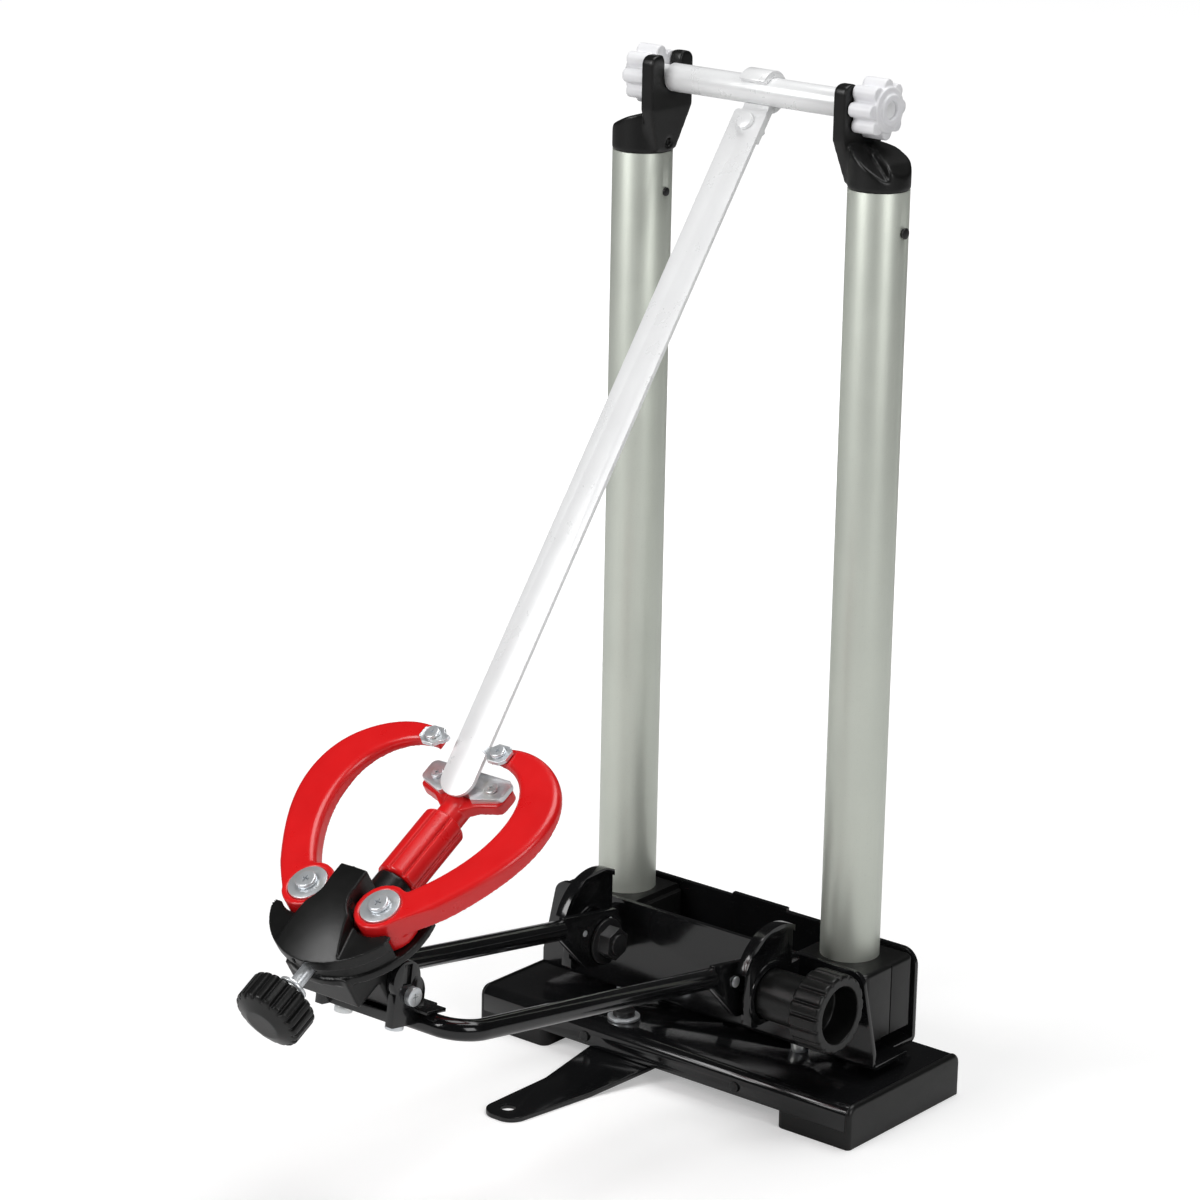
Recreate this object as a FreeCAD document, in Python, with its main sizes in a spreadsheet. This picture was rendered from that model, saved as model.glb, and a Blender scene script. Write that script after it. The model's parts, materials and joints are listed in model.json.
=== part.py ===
import FreeCAD, Part
import math
import os
import re
import Sketcher
from FreeCAD import Placement, Rotation, Vector

# Bicycle wheel truing stand: a folded steel base on rubber feet, two aluminium pillars that
# slide apart in a tray, and a swinging rod frame that carries a self-centring rim caliper
# and a radial gauge. A dummy hub with a centring blade sits in the pillar tops.
# X runs along the hub, Y to the back, Z up; the origin is on the bench, under the middle.

# Every size is a plain number in millimetres or degrees.
sizes = {
    # further than any part reaches, for cuts that go right through
    "far": 99.0,
    # stand frame: y = 0 is the plane of the pillars
    "pillar_y": 147.65,
    # base channel and its end caps
    "base_length": 219.2, "base_front": 56.7, "base_back": 30.4, "base_top": 20.45,
    "base_sheet": 2.0, "base_bend": 5.0, "lip_low": 8.6, "cap_wall": 2.6, "cap_rise": 0.4,
    "foot_inner": 68.4, "foot_round": 5.2, "foot_edge": 4.0, "plug_length": 14.0, "lip_rivet_x": 44.4,
    "cap_edge": 2.2, "foot_wall": 2.0, "pad_floor": 3.0,
    "rivet_z": 12.6, "rivet_radius": 1.6, "rivet_wide": 2.5, "rivet_head": 0.8,
    # tray on four spacers
    "tray_low": 24.5, "tray_sheet": 2.3, "tray_front": 23.5, "tray_back": 20.5,
    "tray_front_top": 70.5, "tray_back_top": 69.5, "tray_top_half": 90.0,
    "tray_foot_half": 98.0, "tray_back_half": 90.5, "tray_step": 3.0, "tray_bend": 3.0,
    "tab_half": 16.0, "tab_rise": 1.6, "tray_corner": 8.0,
    "tray_bolt_x": 52.0, "tray_bolt_front": 17.2, "tray_bolt_back": 14.2,
    "bolt_radius": 2.5, "bolt_head": 3.2, "bolt_head_high": 2.4, "spacer_radius": 4.0,
    "bolt_nut": 4.6, "small_nut": 4.0, "tray_shoulder": 33.0,
    # pillars
    "pillar_x": 66.0, "tube_radius": 13.8, "tube_wall": 1.6, "tube_low": 36.0,
    "tube_top": 424.7, "block_inner": 45.0, "block_outer": 90.0, "block_low": 34.0,
    "block_top": 68.0, "keel_front": 7.5, "keel_back": 5.0, "slide_gap": 0.3, "fit": 0.05,
    "block_corner": 8.0, "block_seam": 0.8, "block_ledge": 3.0, "rack_top": 33.7,
    # pillar caps with the hub slots; each rise counts from the top of the tube
    "hub_gap": 100.0, "slot_rise": 34.7, "hub_y": 0.7, "tongue_thick": 6.5,
    "tongue_half": 14.9, "tongue_rise": 45.3, "slot_width": 11.0, "cap_over": 0.2,
    "brow_in": 5.0, "brow_rise": 12.0, "crown_in": 15.0, "crown_rise": 16.5,
    "dimple_y": 1.0, "dimple_rise": 4.7, "dimple_radius": 2.0, "dimple_deep": 4.0,
    "neck_low": 1.3, "neck_rise": 20.3, "neck_half": 7.0,
    "slope_rise": 19.3, "slope_end": 1.8, "shoulder_rise": 21.3, "shoulder_end": 6.0,
    "valley_start": 3.0, "valley_end": 9.7, "cap_plug": 24.7, "pin_drop": 18.0,
    "pin_radius": 2.0, "pin_head": 2.5, "slot_flare": 1.5, "tongue_round": 4.0,
    "pin_proud": 0.8,
    # rack and pinion that keeps the pillars level
    "pinion_y": 1.5, "pinion_pitch": 7.0, "pinion_tip": 7.4, "rack_clear": 0.7,
    "rack_deep": 4.0, "rack_low": 28.0, "rack_reach": 20.0, "rack_root": 60.0,
    "stud_radius": 2.5, "tooth_deep": 1.1, "tooth_wide": 1.5, "tooth_pitch": 3.14159,
    "rack_teeth": 22, "pinion_teeth": 14,
    "pinion_thick": 5.0, "stud_head": 4.0, "stud_foot": 1.5, "run_gap": 0.3,
    # dummy hub and centring blade
    "axle_radius": 6.4, "rod_radius": 4.0, "rod_half": 70.0, "end_gap": 0.2,
    "blade_angle": 36.4, "blade_width": 17.6, "blade_thick": 2.0, "blade_reach": 344.5,
    "blade_start": 10.5, "clamp_wide": 14.0, "clamp_radius": 9.6, "lug_thick": 4.0,
    "lug_reach": 24.0, "blade_screw": 16.5, "blade_screw_head": 3.9,
    "star_radius": 13.5, "star_inner": 56.8, "star_thick": 14.5, "star_lobe": 3.4,
    "star_step": 1.2, "star_boss": 7.0,
    # swing frame: shaft, ears, plates, rods
    "shaft_y": 45.0, "shaft_z": 58.0, "shaft_radius": 5.0, "run_fit": 0.08,
    "shaft_inner": 33.5, "shaft_left": 62.0, "shaft_right": 70.0, "ear_x": 53.0,
    "ear_thick": 3.0,
    "ear_radius": 26.0, "ear_y": 41.0, "ear_z": 64.0, "ear_back": 29.0, "ear_notch": 68.0,
    "ear_low": 45.0, "ear_rim": 1.3, "ear_band": 2.6, "ear_ring": 15.5, "ear_emboss": 0.8,
    "frame_angle": 8.9, "leg_half": 44.0, "frame_rise": 8.8, "frame_reach": 205.0,
    "rod_round": 4.75, "rod_bend": 14.0, "rod_end": 33.0, "plate_thick": 3.0,
    "plate_top": 14.6, "plate_back": 12.0, "washer_radius": 11.0, "washer_thick": 1.5,
    "nut_radius": 8.0, "nut_thick": 6.0,
    "plate_round": 4.0, "dot_radius": 1.6, "dot_wide": 2.6, "dot_high": 0.8,
    "dot_front": 15.6, "dot_low": 5.2, "dot_back": 2.3, "dot_up": 9.7,
    # barrel knob
    "barrel_start": 54.8, "barrel_radius": 12.0, "flange_start": 78.0, "barrel_end": 94.0,
    "flange_radius": 18.5, "cup_radius": 13.4, "cup_deep": 13.0, "knob_chamfer": 1.0,
    "barrel_grooves": 18, "barrel_groove_deep": 1.6, "barrel_groove_wide": 1.5,
    # bracket on the cross bar, with the tilt axis seen from the bar
    "tilt_forward": 9.8, "tilt_rise": 12.2, "bracket_half": 22.0, "cheek_thick": 4.0,
    "bracket_front": 14.0, "bracket_back": 8.5, "bracket_low": 1.0, "bracket_top": 3.7,
    "cheek_radius": 9.3, "tilt_bolt": 3.0, "tilt_head": 4.2, "bracket_bolt_x": 14.5,
    "bracket_bolt_y": 5.0, "bracket_bolt_head": 4.0, "bracket_bolt_high": 3.6,
    "bridge_front": 4.6, "bridge_top": 6.4, "flap_half": 29.0, "flap_deep": 12.0,
    "flap_thick": 1.6, "cheek_slot": 5.0, "cheek_slot_high": 9.0, "cheek_slot_deep": 1.5,
    "cheek_shift": 3.0, "cheek_rise": 7.0, "tilt_nut": 5.5, "tilt_nut_high": 3.0,
    # caliper head; its frame has y along the arms and z square to them
    "caliper_angle": 30.84, "tilt_s": 8.0, "tilt_n": 48.0, "arm_pivot": 20.4,
    "head_radius": 35.0, "head_centre": 2.0, "head_cut": 12.0, "deck_top": 17.0,
    "deck_thick": 4.0, "block_half": 17.5, "block_front": 30.0, "block_back": 8.0,
    "block_under": 34.0, "lug_radius": 7.5, "wall_radius": 33.5, "wall_thick": 3.0,
    "wall_front": 10.5, "hood_under": 6.5, "hood_ball": 90.0, "hood_crown": 5.0,
    "hood_ball_s": 8.0, "hood_thick": 2.5, "hood_lip": 4.0, "hood_rim": 36.0,
    "saddle_half": 8.5, "saddle_wide": 19.0, "shelf": 4.8, "bowl_low": 31.0,
    "bowl_small": 22.0, "bowl_large": 33.0,
    "recess_radius": 13.2, "hood_cut": 2.0, "wing_cut": 10.0,
    "wing_x": 27.0, "ridge_half": 7.5, "ridge_end": 11.0,
    "thumb_slot": 5.0, "thumb_slot_back": 24.0, "notch_reach": 9.0,
    "notch_s": 17.0, "notch_wide": 8.0, "notch_deep": 4.0,
    "notch_n": 5.0,
    # caliper arms
    "arm_deep": 11.0, "arm_shallow": 5.0, "boss_radius": 12.0, "pin_shank": 4.0,
    "arm_face": 1.0, "arm_taper": 15.0, "arm_round": 3.0,
    "pin_top": 2.0, "arm_washer": 8.9, "arm_washer_thick": 1.2, "arm_washer_gap": 0.3,
    "screw_shank": 2.2, "arm_screw": 4.6, "arm_screw_high": 2.4,
    "arm_outer": 65.0, "arm_inner": 44.5, "arm_top": 96.0, "arm_throat": 82.5,
    "tail_reach": 12.4, "tail_back": 10.0, "tail_radius": 2.5, "tail_low": 10.5, "tail_high": 7.0,
    "tip_x": 9.4, "tip_s": 89.5, "tip_thick": 2.0, "tip_screw_x": 18.5, "tip_red": 13.8,
    "tip_end": 24.5, "tip_half": 5.0, "tip_screw": 1.8, "tip_head": 3.4, "tip_head_high": 1.8,
    # thumb screw and shuttle
    "thumb_n": 13.0, "thumb_radius": 3.0, "thumb_knob_radius": 15.5, "thumb_near": 48.0,
    "thumb_far": 62.0, "thumb_dome": 2.4, "thumb_nut": 5.5, "thumb_bore": 6.0,
    "thumb_nut_high": 4.0, "thumb_grooves": 20, "thumb_groove_deep": 1.9,
    "thumb_groove_wide": 1.5, "nut_place": 43.9, "shuttle_half": 9.5, "shuttle_long": 12.5,
    "shuttle_front": 12.9, "shuttle_top": 7.0, "shuttle_round": 2.0,
    # radial gauge
    "gauge_n": 21.5, "sleeve_low": 25.6, "sleeve_top": 61.7, "sleeve_radius": 10.0,
    "gauge_rod": 6.5, "socket_radius": 9.0, "stub_radius": 5.0, "stub_long": 12.0,
    "tee_half": 22.5, "tee_top": 86.5, "tee_low": 72.0, "tee_face": 17.2, "tee_thick": 5.6,
    "plate_face": 14.5, "plate_screw_x": 15.3, "plate_screw_s": 80.5, "tee_neck": 12.0,
    "tee_round": 3.0, "plate_low": 77.0, "plate_dip": 72.5, "plate_dip_x": 9.0,
    "plate_mid": 74.6, "sleeve_grooves": 8, "sleeve_groove_deep": 1.3,
    "sleeve_groove_wide": 1.1, "gauge_travel": 3.0, "radial_head_high": 1.4,
    # swinging support leg under the front lip
    "leg_x": 33.0, "leg_y": 41.5, "leg_sheet": 2.5, "leg_high": 5.6, "leg_bolt": 4.0,
    "leg_slope_start": 56.0, "leg_slope_end": 88.0, "leg_end": 135.5, "leg_washer": 7.7,
    "leg_eye": 9.0, "leg_wide": 27.5, "leg_washer_thick": 1.5, "leg_head": 5.2,
    "leg_head_high": 3.0, "leg_flange": 1.5, "leg_sleeve": 6.5,
    "leg_hole": 3.6, "leg_hole_y": 125.0,
}

doc = FreeCAD.newDocument("TruingStand")
sheet = doc.addObject("Spreadsheet::Sheet", "Sizes")
for row, (name, number) in enumerate(sizes.items(), start=1):
    sheet.set(f"A{row}", name)
    sheet.set(f"B{row}", str(number))
    sheet.setAlias(f"B{row}", name)
doc.recompute()

nodes = {}
AXIS_OF_PLANE = {"XY_Plane": "z", "XZ_Plane": "y", "YZ_Plane": "x"}


def formula(text):
    """Turn the size names in a formula into references to the sheet."""
    return re.sub(r"[a-z][a-z_]*", lambda m: "Sizes." + m[0] if m[0] in sizes else m[0], text)


def bind(thing, **formulas):
    """Bind properties to formulas; a double underscore stands for a dot."""
    for name, text in formulas.items():
        thing.setExpression(name.replace("__", "."), formula(text))
    return thing


# ---------------------------------------------------------------- frames
def make_frame(name, turn, y, z):
    """A place that sub-parts share: turned about X and moved in Y and Z."""
    frame = doc.addObject("App::Placement", name)
    frame.Placement = Placement(Vector(), Rotation(Vector(1, 0, 0), 10))
    bind(frame, Placement__Rotation__Angle=turn, Placement__Base__y=y, Placement__Base__z=z)
    return frame


HUB_Z = "(tube_top + slot_rise)"
BAR_Y = "(pillar_y - shaft_y - frame_reach*cos(frame_angle) + frame_rise*sin(frame_angle))"
BAR_Z = "(shaft_z + frame_reach*sin(frame_angle) + frame_rise*cos(frame_angle))"
TILT_Y = f"({BAR_Y} - tilt_forward*cos(frame_angle) + tilt_rise*sin(frame_angle))"
TILT_Z = f"({BAR_Z} + tilt_forward*sin(frame_angle) + tilt_rise*cos(frame_angle))"
stand = make_frame("StandFrame", "0", "pillar_y", "0")
hub = make_frame("HubFrame", "-blade_angle", "pillar_y + hub_y", HUB_Z)
swing = make_frame("SwingFrame", "-frame_angle", "pillar_y - shaft_y", "shaft_z")
caliper = make_frame(
    "CaliperFrame", "caliper_angle",
    f"{TILT_Y} + tilt_s*cos(caliper_angle) - tilt_n*sin(caliper_angle)",
    f"{TILT_Z} + tilt_s*sin(caliper_angle) + tilt_n*cos(caliper_angle)")


def seat(label, thing, frame):
    """Name a sub-part and put it in its frame."""
    thing.Label = label
    thing.setExpression("Placement", frame.Name + ".Placement")
    nodes[label] = thing
    return thing


def mirror(label, source):
    """The left-hand twin of a right-hand sub-part."""
    twin = doc.addObject("Part::Mirroring", label)
    twin.Source = source
    twin.Normal = Vector(1, 0, 0)
    twin.Label = label
    nodes[label] = twin
    return twin


# ---------------------------------------------------------------- primitives and booleans
TURNS = {
    "x": Rotation(Vector(0, 1, 0), 90),
    "y": Rotation(Vector(1, 0, 0), -90),
    "z": Rotation(),
}


def box(low, size):
    thing = doc.addObject("Part::Box", "box")
    return bind(thing, Placement__Base__x=low[0], Placement__Base__y=low[1],
                Placement__Base__z=low[2], Length=size[0], Width=size[1], Height=size[2])


def cylinder(axis, foot, radius, length):
    thing = doc.addObject("Part::Cylinder", "cylinder")
    thing.Placement.Rotation = TURNS[axis]
    return bind(thing, Placement__Base__x=foot[0], Placement__Base__y=foot[1],
                Placement__Base__z=foot[2], Radius=radius, Height=length)


def cut(base, *tools):
    for tool in tools:
        result = doc.addObject("Part::Cut", "cut")
        result.Base = base
        result.Tool = tool
        base = result
    return base


def fuse(*parts):
    result = doc.addObject("Part::MultiFuse", "fuse")
    result.Shapes = list(parts)
    result.Refine = True
    return result


def common(*parts):
    result = doc.addObject("Part::MultiCommon", "common")
    result.Shapes = list(parts)
    return result


def group(*parts):
    result = doc.addObject("Part::Compound", "group")
    result.Links = list(parts)
    return result


# ---------------------------------------------------------------- bodies with sketches
def new_body(name):
    body = doc.addObject("PartDesign::Body", name)
    return body


def outline(body, plane, points, offset):
    """A closed sketch of straight lines; each corner is bound to two formulas."""
    sketch = body.newObject("Sketcher::SketchObject", "outline")
    origin = [part for part in body.Origin.OriginFeatures if part.Role == plane]
    sketch.AttachmentSupport = [(origin[0], "")]
    sketch.MapMode = "FlatFace"
    bind(sketch, AttachmentOffset__Base__x=offset[0], AttachmentOffset__Base__y=offset[1],
         AttachmentOffset__Base__z=offset[2])
    count = len(points)
    start = [Vector(50*math.cos(2*math.pi*i/count), 50*math.sin(2*math.pi*i/count), 0)
             for i in range(count)]
    for i in range(count):
        sketch.addGeometry(Part.LineSegment(start[i], start[(i + 1) % count]))
    for i in range(count):
        sketch.addConstraint(Sketcher.Constraint("Coincident", i, 2, (i + 1) % count, 1))
    for i, corner in enumerate(points):
        for kind, place, text in zip(("DistanceX", "DistanceY"), start[i], corner):
            made = sketch.addConstraint(Sketcher.Constraint(kind, -1, 1, i, 1, place))
            sketch.setExpression(f"Constraints[{made}]", formula(text))
    return sketch


def prism(body, plane, points, low, length):
    """Add the outline, drawn out from low along the plane's axis."""
    level = f"-({low} + {length})" if plane == "XZ_Plane" else low
    pad = body.newObject("PartDesign::Pad", "pad")
    pad.Profile = outline(body, plane, points, ("0", "0", level))
    bind(pad, Length=length)
    doc.recompute()
    return pad


def carve(body, plane, points, low, length):
    """Cut the outline away from low along the plane's axis."""
    before = body.Shape.Volume
    level = f"-({low})" if plane == "XZ_Plane" else f"{low} + {length}"
    pocket = body.newObject("PartDesign::Pocket", "pocket")
    pocket.Profile = outline(body, plane, points, ("0", "0", level))
    bind(pocket, Length=length)
    doc.recompute()
    assert body.Shape.Volume < before - 0.01, body.Name + ": a pocket cuts nothing"
    return pocket


def turned_sketch(body, axis, points, foot):
    """A half section: each corner is (radius, place along the axis)."""
    if axis == "z":
        offset = (foot[0], foot[2], f"-({foot[1]})")
        return outline(body, "XZ_Plane", points, offset), "V_Axis"
    if axis == "y":
        return outline(body, "XY_Plane", points, foot), "V_Axis"
    return outline(body, "XY_Plane", [(along, r) for r, along in points], foot), "H_Axis"


def turned(name, axis, points, foot=("0", "0", "0")):
    """A body turned on a lathe about an axis through foot."""
    body = new_body(name)
    sketch, line = turned_sketch(body, axis, points, foot)
    turn = body.newObject("PartDesign::Revolution", "turn")
    turn.Profile = sketch
    turn.ReferenceAxis = (sketch, [line])
    turn.Angle = 360
    doc.recompute()
    return body


def ring_of(body, feature, sketch, axis, count):
    """Repeat a feature round the axis of the sketch it hangs on."""
    pattern = body.newObject("PartDesign::PolarPattern", "ring")
    pattern.Originals = [feature]
    pattern.Axis = (sketch, [axis])
    pattern.Angle = 360
    pattern.Occurrences = count
    body.Tip = pattern
    doc.recompute()
    return pattern


def round_edges(body, radius, wanted):
    """Fillet the edges of the body's last feature that the test picks."""
    last = body.Tip
    names = [f"Edge{i}" for i, edge in enumerate(last.Shape.Edges, start=1) if wanted(edge)]
    assert names, body.Name + ": no edge to round"
    fillet = body.newObject("PartDesign::Fillet", "fillet")
    fillet.Base = (last, names)
    bind(fillet, Radius=radius)
    doc.recompute()
    return fillet


def runs_along(edge, axis):
    """True for a straight edge parallel to an axis."""
    if edge.Curve.TypeId != "Part::GeomLine":
        return False
    span = edge.lastVertex().Point.sub(edge.firstVertex().Point)
    return abs(abs(getattr(span, axis)) - span.Length) < 1e-6


def middle(edge):
    return edge.CenterOfMass


def rectangle(x0, y0, x1, y1):
    return [(x0, y0), (x1, y0), (x1, y1), (x0, y1)]


def hexagon(axis, foot, radius, length):
    thing = doc.addObject("Part::Prism", "hexagon")
    thing.Polygon = 6
    thing.Placement.Rotation = TURNS[axis]
    return bind(thing, Placement__Base__x=foot[0], Placement__Base__y=foot[1],
                Placement__Base__z=foot[2], Circumradius=radius, Height=length)


def shifted(foot, axis, step):
    """The point a step further along an axis."""
    return tuple(f"{place} + {step}" if name == axis else place
                 for name, place in zip("xyz", foot))


def fastener(axis, foot, shank, length, head, high, head_first=False):
    """A screw whose shank starts at foot; its head is at the far end, or behind foot."""
    seat_at = shifted(foot, axis, f"-({high})" if head_first else length)
    return fuse(cylinder(axis, foot, shank, length), cylinder(axis, seat_at, head, high))


def size(name):
    return sheet.get(name)


def at(edge, axis, place):
    return abs(getattr(middle(edge), axis) - place) < 0.01


# ---------------------------------------------------------------- base and end caps
def base_channel():
    """A folded channel, open below, with holes for the tray bolts, stud and leg bolt."""
    body = new_body("BaseChannel")
    prism(body, "YZ_Plane", [
        ("-base_front", "lip_low"), ("-base_front", "base_top"), ("base_back", "base_top"),
        ("base_back", "lip_low"), ("base_back - base_sheet", "lip_low"),
        ("base_back - base_sheet", "base_top - base_sheet"),
        ("base_sheet - base_front", "base_top - base_sheet"),
        ("base_sheet - base_front", "lip_low"),
    ], "cap_wall - base_length/2", "base_length - 2*cap_wall")
    top = size("base_top")
    under = top - size("base_sheet")
    round_edges(body, "base_bend", lambda e: runs_along(e, "x") and at(e, "z", top))
    round_edges(body, "base_bend - base_sheet",
                lambda e: runs_along(e, "x") and at(e, "z", under))
    holes = [cylinder("z", (x, y, "base_top - 2*base_sheet"), "bolt_radius + fit", "far")
             for x, y in tray_bolt_places()]
    leg = cylinder("z", ("-leg_x", "-leg_y", "base_top - 2*base_sheet"), "leg_bolt + fit", "far")
    rivets = [cylinder("y", (f"{side}lip_rivet_x", "-base_front - 1", "rivet_z"),
                       "rivet_radius + fit", "base_sheet + 2") for side in ("-", "")]
    seat("base_channel", cut(body, *holes, leg, *rivets), stand)


def tray_bolt_places():
    return [(f"{side}tray_bolt_x", y) for side in ("-", "")
            for y in ("-tray_bolt_front", "tray_bolt_back")]


def end_cap():
    """A moulded foot: an end wall, a pad under the lips and a plug between them."""
    body = new_body("EndCap")
    end = "base_length/2"
    low = f"{end} - cap_wall"
    prism(body, "YZ_Plane", rectangle("-base_front", "0", "base_back", "base_top + cap_rise"),
          low, "cap_wall")
    top = size("base_top") + size("cap_rise")
    round_edges(body, "foot_round", lambda e: runs_along(e, "x") and at(e, "z", top))
    round_edges(body, "cap_edge",
                lambda e: at(e, "x", size("base_length")/2) and middle(e).z > 1)
    pad = new_body("FootPad")
    prism(pad, "XY_Plane", rectangle("foot_inner", "-base_front", low, "base_back"), "0",
          "lip_low")
    round_edges(pad, "foot_edge", lambda e: runs_along(e, "z")
                and at(e, "x", size("foot_inner")))
    plug_deep = "base_front + base_back - 2*base_bend - 2*fit"
    plug = box((f"{low} - plug_length", "base_bend + fit - base_front", "lip_low"),
               ("plug_length", plug_deep, "base_top - base_sheet - lip_low - fit"))
    hollow = box((f"{low} - plug_length - 1", "base_bend + foot_wall - base_front",
                  "pad_floor"),
                 ("plug_length - foot_wall + 1",
                  "base_front + base_back - 2*base_bend - 2*foot_wall", "base_top"))
    slim = box(("foot_inner + foot_wall", "foot_wall - base_front", "pad_floor"),
               (f"{low} - foot_inner - 2*foot_wall", "base_front + base_back - 2*foot_wall",
                "base_top"))
    whole = fuse(body, cut(fuse(pad, plug), hollow, slim))
    right = seat("end_cap_right", whole, stand)
    mirror("end_cap_left", right)


def lip_rivets():
    """Two rivets through the front lip."""
    rivets = []
    for side in ("-", ""):
        foot = (f"{side}lip_rivet_x", "-base_front", "rivet_z")
        shank = cylinder("y", foot, "rivet_radius", "base_sheet")
        outside = cylinder("y", shifted(foot, "y", "-rivet_head"), "rivet_wide", "rivet_head")
        inside = cylinder("y", shifted(foot, "y", "base_sheet"), "rivet_wide", "rivet_head")
        rivets.append(fuse(shank, outside, inside))
    seat("lip_rivets", group(*rivets), stand)


# ---------------------------------------------------------------- tray
def tray_channel():
    """The folded tray that guides the pillar blocks; the front wall is wider at its foot."""
    body = new_body("TrayChannel")
    floor = "tray_low + tray_sheet"
    prism(body, "YZ_Plane", [
        ("-tray_front", "tray_low"), ("tray_back", "tray_low"),
        ("tray_back", "tray_back_top + tab_rise"),
        ("tray_back - tray_sheet", "tray_back_top + tab_rise"),
        ("tray_back - tray_sheet", floor), ("tray_sheet - tray_front", floor),
        ("tray_sheet - tray_front", "tray_front_top"), ("-tray_front", "tray_front_top"),
    ], "-tray_foot_half", "2*tray_foot_half")
    low = size("tray_low")
    inside = low + size("tray_sheet")
    round_edges(body, "tray_bend", lambda e: runs_along(e, "x") and at(e, "z", low))
    round_edges(body, "tray_bend - tray_sheet",
                lambda e: runs_along(e, "x") and at(e, "z", inside))
    for side in ("-", ""):
        beyond = f"{side}(tray_foot_half + 1)"
        carve(body, "XZ_Plane", [
            (f"{side}tray_foot_half", "tray_shoulder"),
            (f"{side}tray_top_half", "tray_front_top"),
            (f"{side}tray_top_half", "tray_front_top + 1"),
            (beyond, "tray_front_top + 1"), (beyond, "tray_shoulder"),
        ], "-tray_front - 1", "tray_sheet + 2")
        carve(body, "XY_Plane",
              rectangle(f"{side}tray_back_half", "tray_step", beyond, "tray_back + 1"),
              "tray_low - 1", "tray_back_top")
        carve(body, "XZ_Plane",
              rectangle(f"{side}tab_half", "tray_back_top", beyond,
                        "tray_back_top + tab_rise + 1"),
              "tray_back - tray_sheet - 1", "tray_sheet + 2")
    front_top = size("tray_front_top")
    back_top = size("tray_back_top")
    round_edges(body, "tray_corner - 1", lambda e: runs_along(e, "y") and middle(e).y < 0
                and at(e, "z", front_top))
    round_edges(body, "tray_corner", lambda e: runs_along(e, "y") and at(e, "z", back_top)
                and abs(middle(e).x) > size("tab_half") + 1)
    holes = [cylinder("z", (x, y, "tray_low - 1"), "bolt_radius + fit", "tray_sheet + 2")
             for x, y in tray_bolt_places()]
    stud = cylinder("z", ("0", "-pinion_y", "tray_low - 1"), "stud_radius + fit",
                    "tray_sheet + 2")
    seat("tray_channel", cut(body, *holes, stud), stand)


def tray_fixings():
    """Four bolts hold the tray above the base on spacers, with nuts below."""
    spacers = []
    bolts = []
    nuts = []
    under = "base_top - base_sheet"
    for x, y in tray_bolt_places():
        gap = "tray_low - base_top"
        spacers.append(cut(cylinder("z", (x, y, "base_top"), "spacer_radius", gap),
                           cylinder("z", (x, y, "base_top - 1"), "bolt_radius + fit",
                                    gap + " + 2")))
        foot = (x, y, f"{under} - nut_thick")
        bolts.append(fastener("z", foot, "bolt_radius",
                              f"tray_low + tray_sheet - ({under}) + nut_thick",
                              "bolt_head", "bolt_head_high"))
        nuts.append(cut(hexagon("z", (x, y, f"{under} - small_nut"), "bolt_nut", "small_nut"),
                        cylinder("z", (x, y, f"{under} - small_nut - 1"),
                                 "bolt_radius + fit", "small_nut + 2")))
    seat("tray_spacers", group(*spacers), stand)
    seat("tray_bolts", group(*bolts), stand)
    seat("tray_nuts", group(*nuts), stand)


def pinion_stud():
    """The headed stud that the pinion turns on."""
    foot = ("0", "-pinion_y", "tray_low - stud_foot")
    stud = fastener("z", foot, "stud_radius", "rack_low + pinion_thick + run_gap - tray_low"
                    " + stud_foot", "stud_head", "stud_foot")
    flange = cylinder("z", foot, "stud_head", "stud_foot")
    collar = cylinder("z", ("0", "-pinion_y", "tray_low + tray_sheet"), "stud_head",
                      "rack_low - run_gap - tray_low - tray_sheet")
    seat("pinion_stud", fuse(stud, flange, collar), stand)


def pinion():
    """A small spur wheel between the two racks."""
    body = turned("Pinion", "z", rectangle("stud_radius + run_fit", "rack_low", "pinion_tip",
                                            "rack_low + pinion_thick"), ("0", "-pinion_y", "0"))
    half = "tooth_wide/2"
    root = "pinion_tip - tooth_deep"
    sketch_at = ("0", "-pinion_y", "rack_low + pinion_thick + 1")
    gap = body.newObject("PartDesign::Pocket", "gap")
    gap.Profile = outline(body, "XY_Plane", [
        (root, f"-{half}"), ("pinion_tip + 1", "-tooth_wide"), ("pinion_tip + 1", "tooth_wide"),
        (root, half)], sketch_at)
    bind(gap, Length="pinion_thick + 2")
    doc.recompute()
    ring_of(body, gap, gap.Profile[0], "N_Axis", int(size("pinion_teeth")))
    seat("pinion", body, stand)


# ---------------------------------------------------------------- ears that carry the shaft
def pivot_ear():
    """An arched plate welded to the tray wall, with a raised rim and ring on both faces."""
    inner = "ear_x - ear_thick/2"
    low = f"{inner} - ear_rim"
    deep = "ear_thick + 2*ear_rim"
    web = box((inner, "-ear_y", "ear_low"),
              ("ear_thick", "ear_y - tray_front", "ear_notch - ear_low"))
    disc = cylinder("x", (low, "-ear_y", "ear_z"), "ear_radius", deep)
    recesses = [ear_recess(f"{inner} + ear_thick", f"{inner} + ear_thick"),
                ear_recess(f"{low} - 1", f"{inner} - ear_emboss")]
    behind = box((low, "-tray_front", "0"), (deep, "far", "2*far"))
    notch = box((low, "-ear_back", "ear_notch"), (deep, "far", "far"))
    under = box((low, "-far", "0"), (deep, "far", "ear_low"))
    front = box((low, "-far", "0"), (deep, "far - shaft_y - ear_ring", "shaft_z + plate_top"))
    bore = cylinder("x", (f"{low} - 1", "-shaft_y", "shaft_z"), "shaft_radius + run_fit",
                    f"{deep} + 2")
    ear = cut(fuse(cut(disc, *recesses), web), behind, notch, under, front, bore)
    right = seat("pivot_ear_right", ear, stand)
    mirror("pivot_ear_left", right)


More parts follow.
